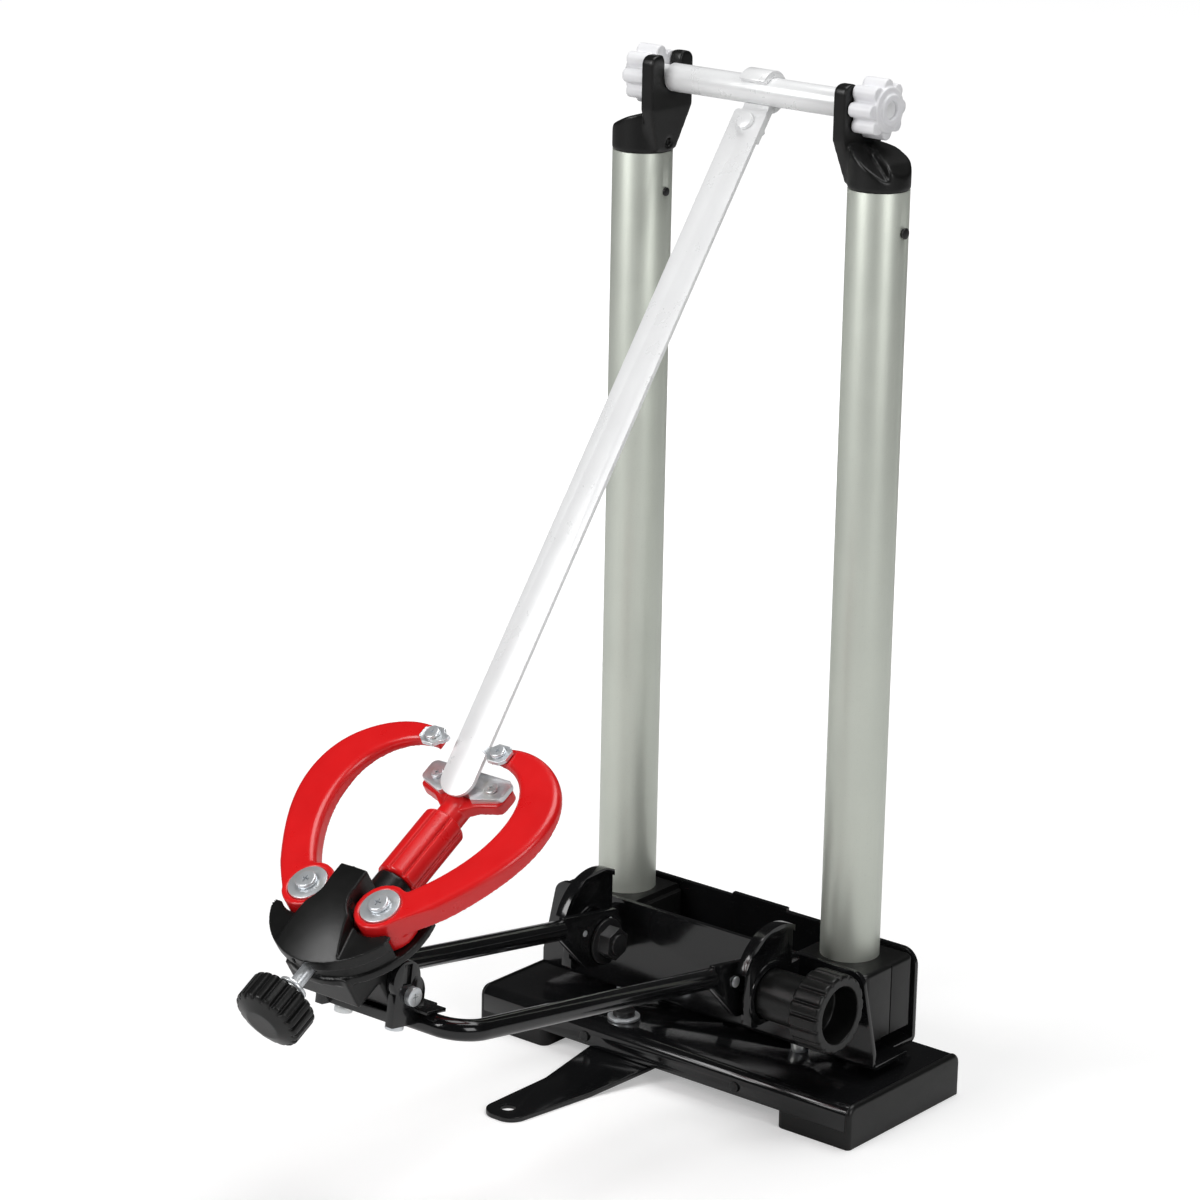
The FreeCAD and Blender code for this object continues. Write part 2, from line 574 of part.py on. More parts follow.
def ear_recess(face, ring_face):
    """The shallow room inside the rim of one face, less the raised ring round the shaft."""
    hollow = cylinder("x", (face, "-ear_y", "ear_z"), "ear_radius - ear_band", "ear_rim + 1")
    ring = cylinder("x", (ring_face, "-shaft_y", "shaft_z"), "ear_ring", "ear_emboss")
    inside = cylinder("x", (f"{ring_face} - 1", "-shaft_y", "shaft_z"), "ear_ring - ear_band",
                      "ear_emboss + 2")
    return cut(hollow, cut(ring, inside))


# ---------------------------------------------------------------- support leg
def support_leg():
    """A bent strap that swings out in front; an eye under the base, a round end with a hole."""
    side = new_body("LegSide")
    low = "leg_high"
    prism(side, "YZ_Plane", [
        ("-leg_y + leg_eye", low), ("-leg_slope_start", low), ("-leg_slope_end", "0"),
        ("-leg_end", "0"), ("-leg_end", "leg_sheet"), ("-leg_slope_end", "leg_sheet"),
        ("-leg_slope_start", "leg_high + leg_sheet"),
        ("-leg_y + leg_eye", "leg_high + leg_sheet"),
    ], "-leg_x - leg_wide", "2*leg_wide")
    plan = new_body("LegPlan")
    prism(plan, "XY_Plane", [
        ("-leg_x - leg_eye", "-leg_y + leg_eye"), ("-leg_x - leg_eye", "-leg_slope_start"),
        ("-leg_x - leg_eye", "-leg_slope_end"), ("-leg_x - leg_eye", "-leg_end"),
        ("-leg_x + leg_eye + 2", "-leg_end"), ("-leg_x + leg_eye + 9", "-leg_slope_end"),
        ("-leg_x + leg_wide", "-leg_slope_start"), ("-leg_x + leg_wide", "-leg_y - 4"),
        ("-leg_x + leg_eye + 2", "-leg_y + leg_eye"),
    ], "-1", "leg_high + leg_sheet + 2")
    end = -size("leg_end")
    near = size("leg_eye") - size("leg_y")
    round_edges(plan, "leg_eye - 0.5",
                lambda e: runs_along(e, "z") and (at(e, "y", end) or at(e, "y", near)))
    eye = cylinder("z", ("-leg_x", "-leg_y", "0"), "leg_bolt + run_fit", "20")
    hole = cylinder("z", ("-leg_x", "-leg_hole_y", "-1"), "leg_hole", "leg_sheet + 2")
    seat("support_leg", cut(common(side, plan), eye, hole), stand)


def leg_fixings():
    """A shouldered bolt with a washer on the base, a spacer sleeve and a flange below."""
    foot = ("-leg_x", "-leg_y", "leg_high - run_gap")
    bolt = fastener("z", foot, "leg_bolt", "base_top + leg_washer_thick - leg_high + run_gap",
                    "leg_head", "leg_head_high")
    flange = cylinder("z", shifted(foot, "z", "-leg_flange"), "leg_washer", "leg_flange")
    seat("leg_bolt", fuse(bolt, flange), stand)
    low = "leg_high + leg_sheet + run_gap"
    sleeve = cylinder("z", ("-leg_x", "-leg_y", low), "leg_sleeve",
                      f"base_top - base_sheet - ({low})")
    bore = cylinder("z", ("-leg_x", "-leg_y", "0"), "leg_bolt + fit", "30")
    washer = cylinder("z", ("-leg_x", "-leg_y", "base_top"), "leg_washer",
                      "leg_washer_thick")
    seat("leg_spacers", group(cut(sleeve, bore), cut(washer, bore)), stand)


# ---------------------------------------------------------------- pillars
def pillar_block():
    """The sliding foot of a pillar, with a keel that glides on the tray floor."""
    body = new_body("Block")
    front = "tray_sheet + slide_gap - tray_front"
    back = "tray_back - tray_sheet - slide_gap"
    prism(body, "XY_Plane", rectangle("block_inner", front, "block_outer", back),
          "block_low", "block_top - block_low")
    low = size("block_low")
    high = size("block_top")
    inner = size("block_inner")
    round_edges(body, "block_corner/2", lambda e: runs_along(e, "z"))
    round_edges(body, "block_corner/4", lambda e: at(e, "z", high))
    keel = box(("block_inner + block_corner", "-keel_front",
                "tray_low + tray_sheet + slide_gap"),
               ("block_outer - block_inner - 2*block_corner", "keel_front + keel_back",
                "block_low - tray_low - tray_sheet - slide_gap"))
    bore = cylinder("z", ("pillar_x", "0", "tube_low"), "tube_radius + fit", "far")
    ledge = box(("block_inner - 1", "-far", "block_top - block_ledge"),
                ("block_ledge + 1", "2*far", "far"))
    seam = box(("block_outer - block_seam", "-block_seam/2", "block_low - 1"),
               ("block_seam + 1", "block_seam", "far"))
    right = seat("pillar_block_right", cut(fuse(body, keel), bore, ledge, seam), stand)
    mirror("pillar_block_left", right)


def pillar_tube():
    """A round tube with a cross hole near its top."""
    foot = ("pillar_x", "0", "tube_low")
    tube = cut(cylinder("z", foot, "tube_radius", "tube_top - tube_low"),
               cylinder("z", foot, "tube_radius - tube_wall", "tube_top"), cross_hole())
    right = seat("pillar_tube_right", tube, stand)
    mirror("pillar_tube_left", right)


def cross_hole():
    return cylinder("x", ("pillar_x - 2*tube_radius", "0", "tube_top - pin_drop"), "pin_radius + fit",
                    "4*tube_radius")


def pillar_cap():
    """A cap with an open slot for the hub axle, a neck, a slope and a shoulder."""
    seat("pillar_cap_right", cap_body("Right", 1), stand)
    mirror("pillar_cap_left", seat("pillar_cap_left", cap_body("Left", -1), stand))


def cap_body(name, way):
    """One cap at the right-hand pillar; way turns its shoulder to the back or the front."""
    inner = "hub_gap/2"
    edge = "(tube_radius + cap_over)"
    outer = f"pillar_x + {edge}"
    tongue = new_body("Tongue" + name)
    prism(tongue, "YZ_Plane", [
        ("-neck_half", "tube_top + neck_low"), ("neck_half", "tube_top + neck_low"),
        ("hub_y + tongue_half", "tube_top + neck_rise"),
        ("hub_y + tongue_half", "tube_top + tongue_rise"),
        ("hub_y + slot_width/2 + slot_flare", "tube_top + tongue_rise"),
        ("hub_y + slot_width/2", "tube_top + tongue_rise - 2*slot_flare"),
        ("hub_y + slot_width/2", HUB_Z), ("hub_y - slot_width/2", HUB_Z),
        ("hub_y - slot_width/2", "tube_top + tongue_rise - 2*slot_flare"),
        ("hub_y - slot_width/2 - slot_flare", "tube_top + tongue_rise"),
        ("hub_y - tongue_half", "tube_top + tongue_rise"),
        ("hub_y - tongue_half", "tube_top + neck_rise"),
    ], inner, "tongue_thick")
    top = size("tube_top") + size("tongue_rise")
    reach = size("tongue_half")
    round_edges(tongue, "tongue_round", lambda e: runs_along(e, "x") and at(e, "z", top)
                and abs(abs(middle(e).y - size("hub_y")) - reach) < 0.01)
    lean = new_body("Lean" + name)
    prism(lean, "XZ_Plane", [
        (inner, "tube_top + neck_rise"), (f"pillar_x - {edge}", "tube_top"),
        ("pillar_x", "tube_top"), ("pillar_x", "tube_top + 2*tongue_rise"),
        (inner, "tube_top + 2*tongue_rise")], "-2*tongue_half", "4*tongue_half")
    round_top = cylinder("z", ("pillar_x", "0", "tube_top"), edge, "shoulder_rise")
    slope = new_body("Slope" + name)
    prism(slope, "XZ_Plane", [
        (inner, "tube_top - 1"), (f"{outer} + 1", "tube_top - 1"),
        (f"{outer} + 1", "tube_top + slope_end"), (f"{inner} + tongue_thick",
                                                   "tube_top + slope_rise"),
        (inner, "tube_top + slope_rise")], f"-{edge}", f"2*{edge}")
    shoulder = new_body("Shoulder" + name)
    prism(shoulder, "XZ_Plane", [
        (inner, "tube_top"), (f"{outer} + 1", "tube_top"),
        (f"{outer} + 1", "tube_top + shoulder_end"), (f"{outer} - brow_in", "tube_top + brow_rise"),
        (f"{outer} - crown_in", "tube_top + crown_rise"), (inner, "tube_top + shoulder_rise")],
        f"-{edge}", f"2*{edge}")
    plan = new_body("Plan" + name)
    prism(plan, "XY_Plane", [
        (inner, f"{way}*valley_start"), (f"{outer} + 1", f"{-way}*valley_end"),
        (f"{outer} + 1", f"{way}*{edge}"), (inner, f"{way}*{edge}")],
        "tube_top", "shoulder_rise")
    low_ring = cylinder("z", ("pillar_x", "0", "tube_top"), edge, "slope_end")
    head = common(round_top, fuse(slope, common(shoulder, plan)))
    plug = cylinder("z", ("pillar_x", "0", "tube_top - cap_plug"),
                    "tube_radius - tube_wall - fit", "cap_plug")
    slot = cylinder("x", (f"{inner} - 1", "hub_y", HUB_Z), "slot_width/2",
                    "tongue_thick + 2")
    dimple = cylinder("x", (inner, "dimple_y", "tube_top + dimple_rise"), "dimple_radius",
                      "dimple_deep")
    whole = cut(fuse(common(tongue, lean), low_ring, head), slot, dimple)
    return cut(fuse(whole, plug), cross_hole())


def cap_pin():
    """The headed cross pin through the tube and the cap's plug."""
    foot = ("pillar_x - tube_radius - pin_proud", "0", "tube_top - pin_drop")
    pin = fastener("x", foot, "pin_radius", "2*tube_radius + 2*pin_proud", "pin_head",
                   "pin_proud")
    right = seat("cap_pin_right", pin, stand)
    mirror("cap_pin_left", right)


def rack():
    """A toothed bar fixed under each block; the two face each other across the pinion."""
    racks = {"right": ("-pinion_y - pinion_pitch - rack_clear - rack_deep", 1),
             "left": ("pinion_pitch + rack_clear - pinion_y", -1)}
    for name, (front, way) in racks.items():
        start = "-rack_reach" if way > 0 else "-rack_root"
        bar = box((start, front, "rack_low"),
                  ("rack_reach + rack_root", "rack_deep", "block_low - rack_low"))
        teeth = "rack_deep - tooth_deep" if way > 0 else "-1"
        gaps = []
        for i in range(int(size("rack_teeth"))):
            step = f"{way}*(tooth_pitch*{i} - rack_reach + tooth_pitch/2) - tooth_wide/2"
            gaps.append(box((step, f"{front} + {teeth}", "rack_low - 1"),
                            ("tooth_wide", "tooth_deep + 1", "block_low - rack_low + 2")))
        relief = box((f"{start} - 1" if way > 0 else "-block_inner",
                      f"{front} - 1", "rack_top"),
                     ("rack_reach + block_inner + 1", "rack_deep + 2", "far"))
        seat("rack_" + name, cut(bar, group(*gaps), relief), stand)


def star_knob():
    """A lobed knob that turns on the rod, outside the pillar cap."""
    centre = ("star_inner", "hub_y", HUB_Z)
    lobes = [cylinder("x", ("star_inner",
                            f"hub_y + (star_radius - star_lobe)*cos({i}*45)",
                            f"{HUB_Z} + (star_radius - star_lobe)*sin({i}*45)"),
                      "star_lobe", "star_thick - 2*star_step") for i in range(8)]
    hub_part = cylinder("x", centre, "star_radius - star_lobe", "star_thick - star_step")
    boss = cylinder("x", centre, "star_boss", "star_thick")
    bore = cylinder("x", ("star_inner - 1", "hub_y", HUB_Z),
                    "rod_radius + 2*fit", "star_thick + 2")
    right = seat("star_knob_right", cut(fuse(hub_part, boss, *lobes), bore), stand)
    mirror("star_knob_left", right)


# ---------------------------------------------------------------- dummy hub and blade
def gauge_axle():
    """The tube between the caps, and the rod through it with a journal in each slot."""
    half = "hub_gap/2 - end_gap"
    foot = (f"-({half})", "0", "0")
    tube = cut(cylinder("x", foot, "axle_radius", f"2*({half})"),
               cylinder("x", ("-far", "0", "0"), "rod_radius + fit", "2*far"))
    seat("gauge_axle", tube, hub)
    rod = cylinder("x", ("-rod_half", "0", "0"), "rod_radius", "2*rod_half")
    journals = [cylinder("x", (foot_x, "0", "0"), "slot_width/2 - run_gap",
                         "tongue_thick + end_gap")
                for foot_x in (half, f"-({half}) - tongue_thick - end_gap")]
    seat("gauge_rod", fuse(rod, *journals), hub)


def gauge_blade():
    """A flat blade on a clamp ring; it reaches down to the rim between the caliper tips."""
    body = new_body("Blade")
    half = "blade_width/2"
    prism(body, "XZ_Plane", rectangle(f"-{half}", "-blade_reach", half, "-blade_start"),
          "-blade_thick/2", "blade_thick")
    end = -size("blade_reach")
    start = -size("blade_start")
    round_edges(body, f"{half} - 0.5", lambda e: runs_along(e, "y") and at(e, "z", end))
    round_edges(body, "blade_thick", lambda e: runs_along(e, "y") and at(e, "z", start))
    hole = cylinder("y", ("0", "-9", "-blade_screw"), "bolt_radius + fit", "18")
    seat("gauge_bar", cut(body, hole), hub)
    across = "-clamp_wide/2"
    ring = cut(cylinder("x", (across, "0", "0"), "clamp_radius", "clamp_wide"),
               box((across, "-far", "-far"), ("clamp_wide", "far + blade_thick/2", "far")))
    lug = box((across, "blade_thick/2", "-lug_reach"),
              ("clamp_wide", "lug_thick", "lug_reach"))
    bore = cylinder("x", ("-far", "0", "0"), "axle_radius + fit", "2*far")
    lug_hole = cylinder("y", ("0", "-9", "-blade_screw"), "bolt_radius + fit", "18")
    seat("gauge_clamp", cut(fuse(ring, lug), bore, lug_hole), hub)
    foot = ("0", "-blade_thick/2", "-blade_screw")
    screw = fastener("y", foot, "bolt_radius", "blade_thick + lug_thick + small_nut + 1",
                     "blade_screw_head", "bolt_head_high", head_first=True)
    nut_foot = ("0", "blade_thick/2 + lug_thick", "-blade_screw")
    nut = cut(hexagon("y", nut_foot, "bolt_nut", "small_nut"),
              cylinder("y", nut_foot, "bolt_radius + fit", "small_nut"))
    seat("gauge_fasteners", group(screw, nut), hub)


# ---------------------------------------------------------------- swing frame
def pivot_shaft():
    """Two short shafts that shift sideways in the ears, and a washer and nut on each."""
    stubs = [turned("Shaft" + name, "x", [
        ("0", f"{way}shaft_inner"), ("shaft_radius", f"{way}shaft_inner"),
        ("shaft_radius", f"{way}({end} - knob_chamfer)"),
        ("shaft_radius - knob_chamfer", way + end), ("0", way + end),
    ]) for name, way, end in (("Right", "", "shaft_right"), ("Left", "-", "shaft_left"))]
    seat("pivot_shaft", group(*stubs), swing)
    nuts = []
    for side in (1, -1):
        face = "leg_half - plate_thick/2 - run_gap"
        washer_at = f"{face} - washer_thick" if side > 0 else f"-({face})"
        nut_at = f"{face} - washer_thick - nut_thick" if side > 0 else (
            f"washer_thick - ({face})")
        hole = cylinder("x", ("-far", "0", "0"), "shaft_radius + fit", "2*far")
        stack = fuse(cylinder("x", (washer_at, "0", "0"), "washer_radius", "washer_thick"),
                     hexagon("x", (nut_at, "0", "0"), "nut_radius", "nut_thick"))
        nuts.append(cut(stack, hole))
    seat("shaft_nuts", group(*nuts), swing)


def barrel_knob():
    """The lateral adjusting knob: a plain barrel and a ribbed cup."""
    body = turned("BarrelKnob", "x", [
        ("shaft_radius + run_fit", "barrel_start"), ("barrel_radius", "barrel_start"),
        ("barrel_radius", "flange_start"), ("flange_radius - knob_chamfer", "flange_start"),
        ("flange_radius", "flange_start + knob_chamfer"),
        ("flange_radius", "barrel_end - knob_chamfer"),
        ("flange_radius - knob_chamfer", "barrel_end"), ("cup_radius", "barrel_end"),
        ("cup_radius", "barrel_end - cup_deep"),
        ("shaft_radius + run_fit", "barrel_end - cup_deep"),
    ])
    rib_round(body, "YZ_Plane", "flange_radius", "flange_start - 1",
              "barrel_end - flange_start + 2", "barrel", ("0", "0"))
    seat("barrel_knob", body, swing)


def rib_round(body, plane, radius, low, length, kind, centre):
    """Cut finger grooves along a turned knob; kind names the groove's own sizes."""
    sketch_level = f"-({low})" if plane == "XZ_Plane" else f"{low} + {length}"
    groove = body.newObject("PartDesign::Pocket", "groove")
    groove.Profile = outline(body, plane, [
        (f"{radius} - {kind}_groove_deep", f"-{kind}_groove_wide/4"),
        (f"{radius} + 1", f"-{kind}_groove_wide"), (f"{radius} + 1", f"{kind}_groove_wide"),
        (f"{radius} - {kind}_groove_deep", f"{kind}_groove_wide/4"),
    ], (centre[0], centre[1], sketch_level))
    bind(groove, Length=length)
    doc.recompute()
    ring_of(body, groove, groove.Profile[0], "N_Axis", int(size(kind + "_grooves")))


def swing_rod():
    """One round rod: two legs and a cross bar, joined by quarter-round bends."""
    inner = "leg_half - rod_bend"
    far = "frame_reach - rod_bend"
    pieces = [cylinder("x", (f"-({inner})", "-frame_reach", "frame_rise"), "rod_round",
                       f"2*({inner})")]
    for side, turn in (("", 270), ("-", 180)):
        pieces.append(cylinder("y", (f"{side}leg_half", f"-({far})", "frame_rise"),
                               "rod_round", f"{far} - rod_end"))
        bend = doc.addObject("Part::Torus", "bend")
        bend.Placement.Rotation = Rotation(Vector(0, 0, 1), turn)
        bend.Angle3 = 90
        pieces.append(bind(bend, Placement__Base__x=f"{side}({inner})",
                           Placement__Base__y=f"-({far})", Placement__Base__z="frame_rise",
                           Radius1="rod_bend", Radius2="rod_round"))
    seat("swing_rod", fuse(*pieces), swing)


DOTS = [("-dot_front", "dot_low"), ("dot_back", "dot_up")]


def arm_plate():
    """A plate welded to the end of each leg of the rod; the shaft passes through it."""
    body = new_body("ArmPlate")
    prism(body, "YZ_Plane", [
        ("-rod_end", "frame_rise - rod_round"), ("-rod_end", "plate_top"),
        ("plate_back/2", "plate_top"), ("plate_back", "plate_top/2"),
        ("plate_back", "-plate_back/2"), ("plate_back/2", "-plate_back"),
        ("-plate_back", "-plate_back"),
    ], "leg_half - plate_thick/2", "plate_thick")
    top = size("plate_top")
    round_edges(body, "plate_round", lambda e: runs_along(e, "x") and middle(e).z < top - 1
                and middle(e).y > -size("plate_back") - 1)
    bore = cylinder("x", ("0", "0", "0"), "shaft_radius + run_fit", "far")
    holes = [cylinder("x", ("0", y, z), "dot_radius + fit", "far") for y, z in DOTS]
    right = seat("arm_plate_right", cut(body, bore, *holes), swing)
    mirror("arm_plate_left", right)
    rivets = []
    for y, z in DOTS:
        rivets.append(fastener("x", ("leg_half - plate_thick/2", y, z), "dot_radius",
                               "plate_thick", "dot_wide", "dot_high"))
        rivets.append(fastener("x", ("-leg_half - plate_thick/2", y, z), "dot_radius",
                               "plate_thick", "dot_wide", "dot_high", head_first=True))
    seat("plate_rivets", group(*rivets), swing)


def head_bracket():
    """A saddle clamped on the cross bar, with two cheeks that hold the tilt bolt."""
    front = "-(frame_reach + bracket_front)"
    low = "frame_rise - bracket_low"
    saddle = box(("-bracket_half", front, low),
                 ("2*bracket_half", "bracket_front + bracket_back",
                  "bracket_low + bracket_top"))
    groove = cylinder("x", ("-far", "-frame_reach", "frame_rise"), "rod_round + fit", "2*far")
    tilt = ("-(frame_reach + tilt_forward)", "frame_rise + tilt_rise")
    bridge = box(("-bracket_half", "-frame_reach - bridge_front", low),
                 ("2*bracket_half", "bridge_front + bracket_back", "bracket_low + bridge_top"))
    pieces = [saddle, bridge]
    for side in (1, -1):
        x = "bracket_half - cheek_thick" if side > 0 else "-bracket_half"
        pieces.append(cylinder("x", (x, tilt[0], tilt[1]), "cheek_radius", "cheek_thick"))
        pieces.append(cylinder("x", (x, f"{tilt[0]} - cheek_shift", f"{tilt[1]} + cheek_rise"),
                               "cheek_radius - 1", "cheek_thick"))
        pieces.append(box((x, f"{tilt[0]} - cheek_radius", low),
                          ("cheek_thick", "2*cheek_radius", "bracket_low + tilt_rise")))
        flap = "bracket_half - cheek_thick" if side > 0 else "-flap_half"
        pieces.append(box((flap, "-frame_reach - flap_deep/2", "frame_rise + rod_round + fit"),
                          ("flap_half - bracket_half + cheek_thick", "flap_deep",
                           "flap_thick")))
    bore = cylinder("x", ("-far", tilt[0], tilt[1]), "tilt_bolt + fit", "2*far")
    holes = [cylinder("z", (f"{side}bracket_bolt_x", f"{front} + bracket_bolt_y", "-9"),
                      "bolt_radius + fit", "far") for side in ("", "-")]
    slots = [box((x, f"{tilt[0]} - cheek_shift - cheek_slot/2", f"{tilt[1]} + cheek_slot"),
                 ("cheek_slot_deep + 1", "cheek_slot", "cheek_slot_high"))
             for x in ("bracket_half - cheek_slot_deep", "-bracket_half - 1")]
    seat("head_bracket", cut(fuse(*pieces), groove, bore, *holes, *slots), swing)
    bolts = [fastener("z", (f"{side}bracket_bolt_x", f"{front} + bracket_bolt_y", low),
                      "bolt_radius", "bracket_low + bracket_top - 1", "bracket_bolt_head",
                      "bracket_bolt_high", head_first=True) for side in ("", "-")]
    seat("bracket_bolts", group(*bolts), swing)
    end = "bracket_half"
    bolt = fastener("x", (f"-({end}) - tilt_nut_high - 1", tilt[0], tilt[1]), "tilt_bolt",
                    f"2*({end}) + tilt_nut_high + 1", "tilt_head", "tilt_nut_high")
    nut_foot = (f"-({end}) - tilt_nut_high", tilt[0], tilt[1])
    nut = cut(hexagon("x", nut_foot, "tilt_nut", "tilt_nut_high"),
              cylinder("x", nut_foot, "tilt_bolt + fit", "tilt_nut_high"))
    seat("tilt_fasteners", group(bolt, nut), swing)


# ---------------------------------------------------------------- caliper head
def head_base():
    """The caliper body: a deck with a wall, a bowl and block below, a lug on the bolt."""
    deck_under = "-deck_top - deck_thick"
    deck = cylinder("z", ("0", "head_centre", deck_under), "head_radius", "deck_thick")
    wall = cut(cylinder("z", ("0", "head_centre", "-deck_top"), "wall_radius",
                        "deck_top - hood_under"),
               cylinder("z", ("0", "head_centre", "-deck_top"), "wall_radius - wall_thick",
                        "deck_top - hood_under + 1"))
    front = box(("-far", "-wall_front", "-deck_top"), ("2*far", "2*far", "far"))
    trim = box(("-far", "head_cut", "-far"), ("2*far", "far", "2*far"))
    bowl = doc.addObject("Part::Cone", "bowl")
    bind(bowl, Placement__Base__y="head_centre", Placement__Base__z="-bowl_low",
         Radius1="bowl_small", Radius2="bowl_large", Height="bowl_low - deck_top - deck_thick")
    block = box(("-block_half", "-block_front", "-block_under"),
                ("2*block_half", "block_front + block_back", "block_under - deck_top"))
    lug = cylinder("x", ("-block_half", "-tilt_s", "-tilt_n"), "lug_radius", "2*block_half")
    neck = box(("-block_half", "-tilt_s - lug_radius", "-tilt_n"),
               ("2*block_half", "2*lug_radius", "tilt_n - block_under"))
    socket = cylinder("y", ("0", "0", "-gauge_n"), "socket_radius", "sleeve_low - run_gap")
    stub = cylinder("y", ("0", "0", "-gauge_n"), "stub_radius", "sleeve_low + stub_long")
    posts = [cylinder("z", (f"{side}arm_pivot", "0", "-deck_top"), "pin_shank",
                      "deck_top - pin_top") for side in ("", "-")]
    bolt = cylinder("x", ("-far", "-tilt_s", "-tilt_n"), "tilt_bolt + run_fit", "2*far")
    thumb = cylinder("y", ("0", "-far", "-thumb_n"), "thumb_radius + run_fit", "far")
    shell = cut(fuse(deck, bowl, cut(wall, front)), trim)
    whole = cut(fuse(shell, block, lug, neck, socket, stub, *posts), bolt, thumb)
    seat("head_base", whole, caliper)


def head_hood():
    """The cover: a domed saddle between the arms' bosses, with a low shelf on each side."""
    crown = "hood_crown - hood_ball"
    centre = ("0", "hood_ball_s", crown)
    ball = doc.addObject("Part::Sphere", "ball")
    bind(ball, Placement__Base__x=centre[0], Placement__Base__y=centre[1],
         Placement__Base__z=centre[2], Radius="hood_ball")
    hollow = doc.addObject("Part::Sphere", "hollow")
    bind(hollow, Placement__Base__x=centre[0], Placement__Base__y=centre[1],
         Placement__Base__z=centre[2], Radius="hood_ball - hood_thick")
    disc = cylinder("z", ("0", "head_centre", "-hood_under"), "hood_rim", "hood_under + 9")
    apron = cylinder("z", ("0", "head_centre", "-hood_under - hood_lip"), "hood_rim",
                     "hood_lip + 9")
    inside = cylinder("z", ("0", "head_centre", "-hood_under - hood_lip - 1"),
                      "hood_rim - hood_thick/2", "hood_lip + 1")
    dome = common(fuse(disc, apron), ball)
    recesses = [cylinder("z", (f"{side}arm_pivot", "0", "-far"), "recess_radius", "2*far")
                for side in ("", "-")]
    open_front = [box((x, f"-{low}", "-far"), ("far", "far", "2*far")) for x, low in (
        ("ridge_half", "hood_cut"), ("-ridge_half - far", "hood_cut"),
        ("wing_x", "wing_cut"), ("-wing_x - far", "wing_cut"))]
    tip = box(("-far", "ridge_end", "-far"), ("2*far", "far", "2*far"))
    slot = box(("-thumb_slot", "-far", "-far"), ("2*thumb_slot", "far - head_centre - thumb_slot_back",
                                               "far - hood_under"))
    notch = [box((x, "-notch_s", "-far"), ("notch_reach", "notch_wide", "far - notch_n"))
             for x in ("hood_rim - notch_deep", "-hood_rim + notch_deep - 9")]
    room = cut(common(hollow, underside()), *beside("Room", "-hood_under - 1", "hood_thick"))
    shell = cut(dome, room, inside, *recesses, *open_front, tip, slot, *notch,
                *beside("Shelf", "-shelf", "0"))
    seat("head_hood", shell, caliper)


def beside(name, low, inset):
    """The two rooms beside the saddle, from low upwards; inset makes the saddle narrower."""
    rooms = []
    for way in ("", "-"):
        body = new_body(name + ("Right" if way == "" else "Left"))
        prism(body, "XY_Plane", [
            (f"{way}(saddle_half - {inset})", "far"), (f"{way}(saddle_half - {inset})", "hood_cut"),
            (f"{way}(saddle_wide - {inset})", "-head_radius"),
            (f"{way}(saddle_wide - {inset})", "-far"), (f"{way}far", "-far"),
            (f"{way}far", "far")], low, "far")
        rooms.append(body)
    return rooms


def underside():
    """What the cover leaves hollow above the wall it rests on."""
    return cylinder("z", ("0", "head_centre", "-hood_under"), "wall_radius - wall_thick",
                    "hood_under + 9")


def arm_fixings():
    """A washer and a screw head on each arm's pivot post."""
    washers = []
    screws = []
    for side in ("", "-"):
        foot = (f"{side}arm_pivot", "0", "arm_washer_gap - pin_top")
        washers.append(cut(cylinder("z", foot, "arm_washer", "arm_washer_thick"),
                           cylinder("z", foot, "screw_shank + fit", "9")))
        shank = shifted(foot, "z", "-arm_washer_gap")
        screws.append(fastener("z", shank, "screw_shank",
                               "arm_washer_gap + arm_washer_thick", "arm_screw",
                               "arm_screw_high"))
    seat("arm_washers", group(*washers), caliper)
    seat("arm_screws", group(*screws), caliper)


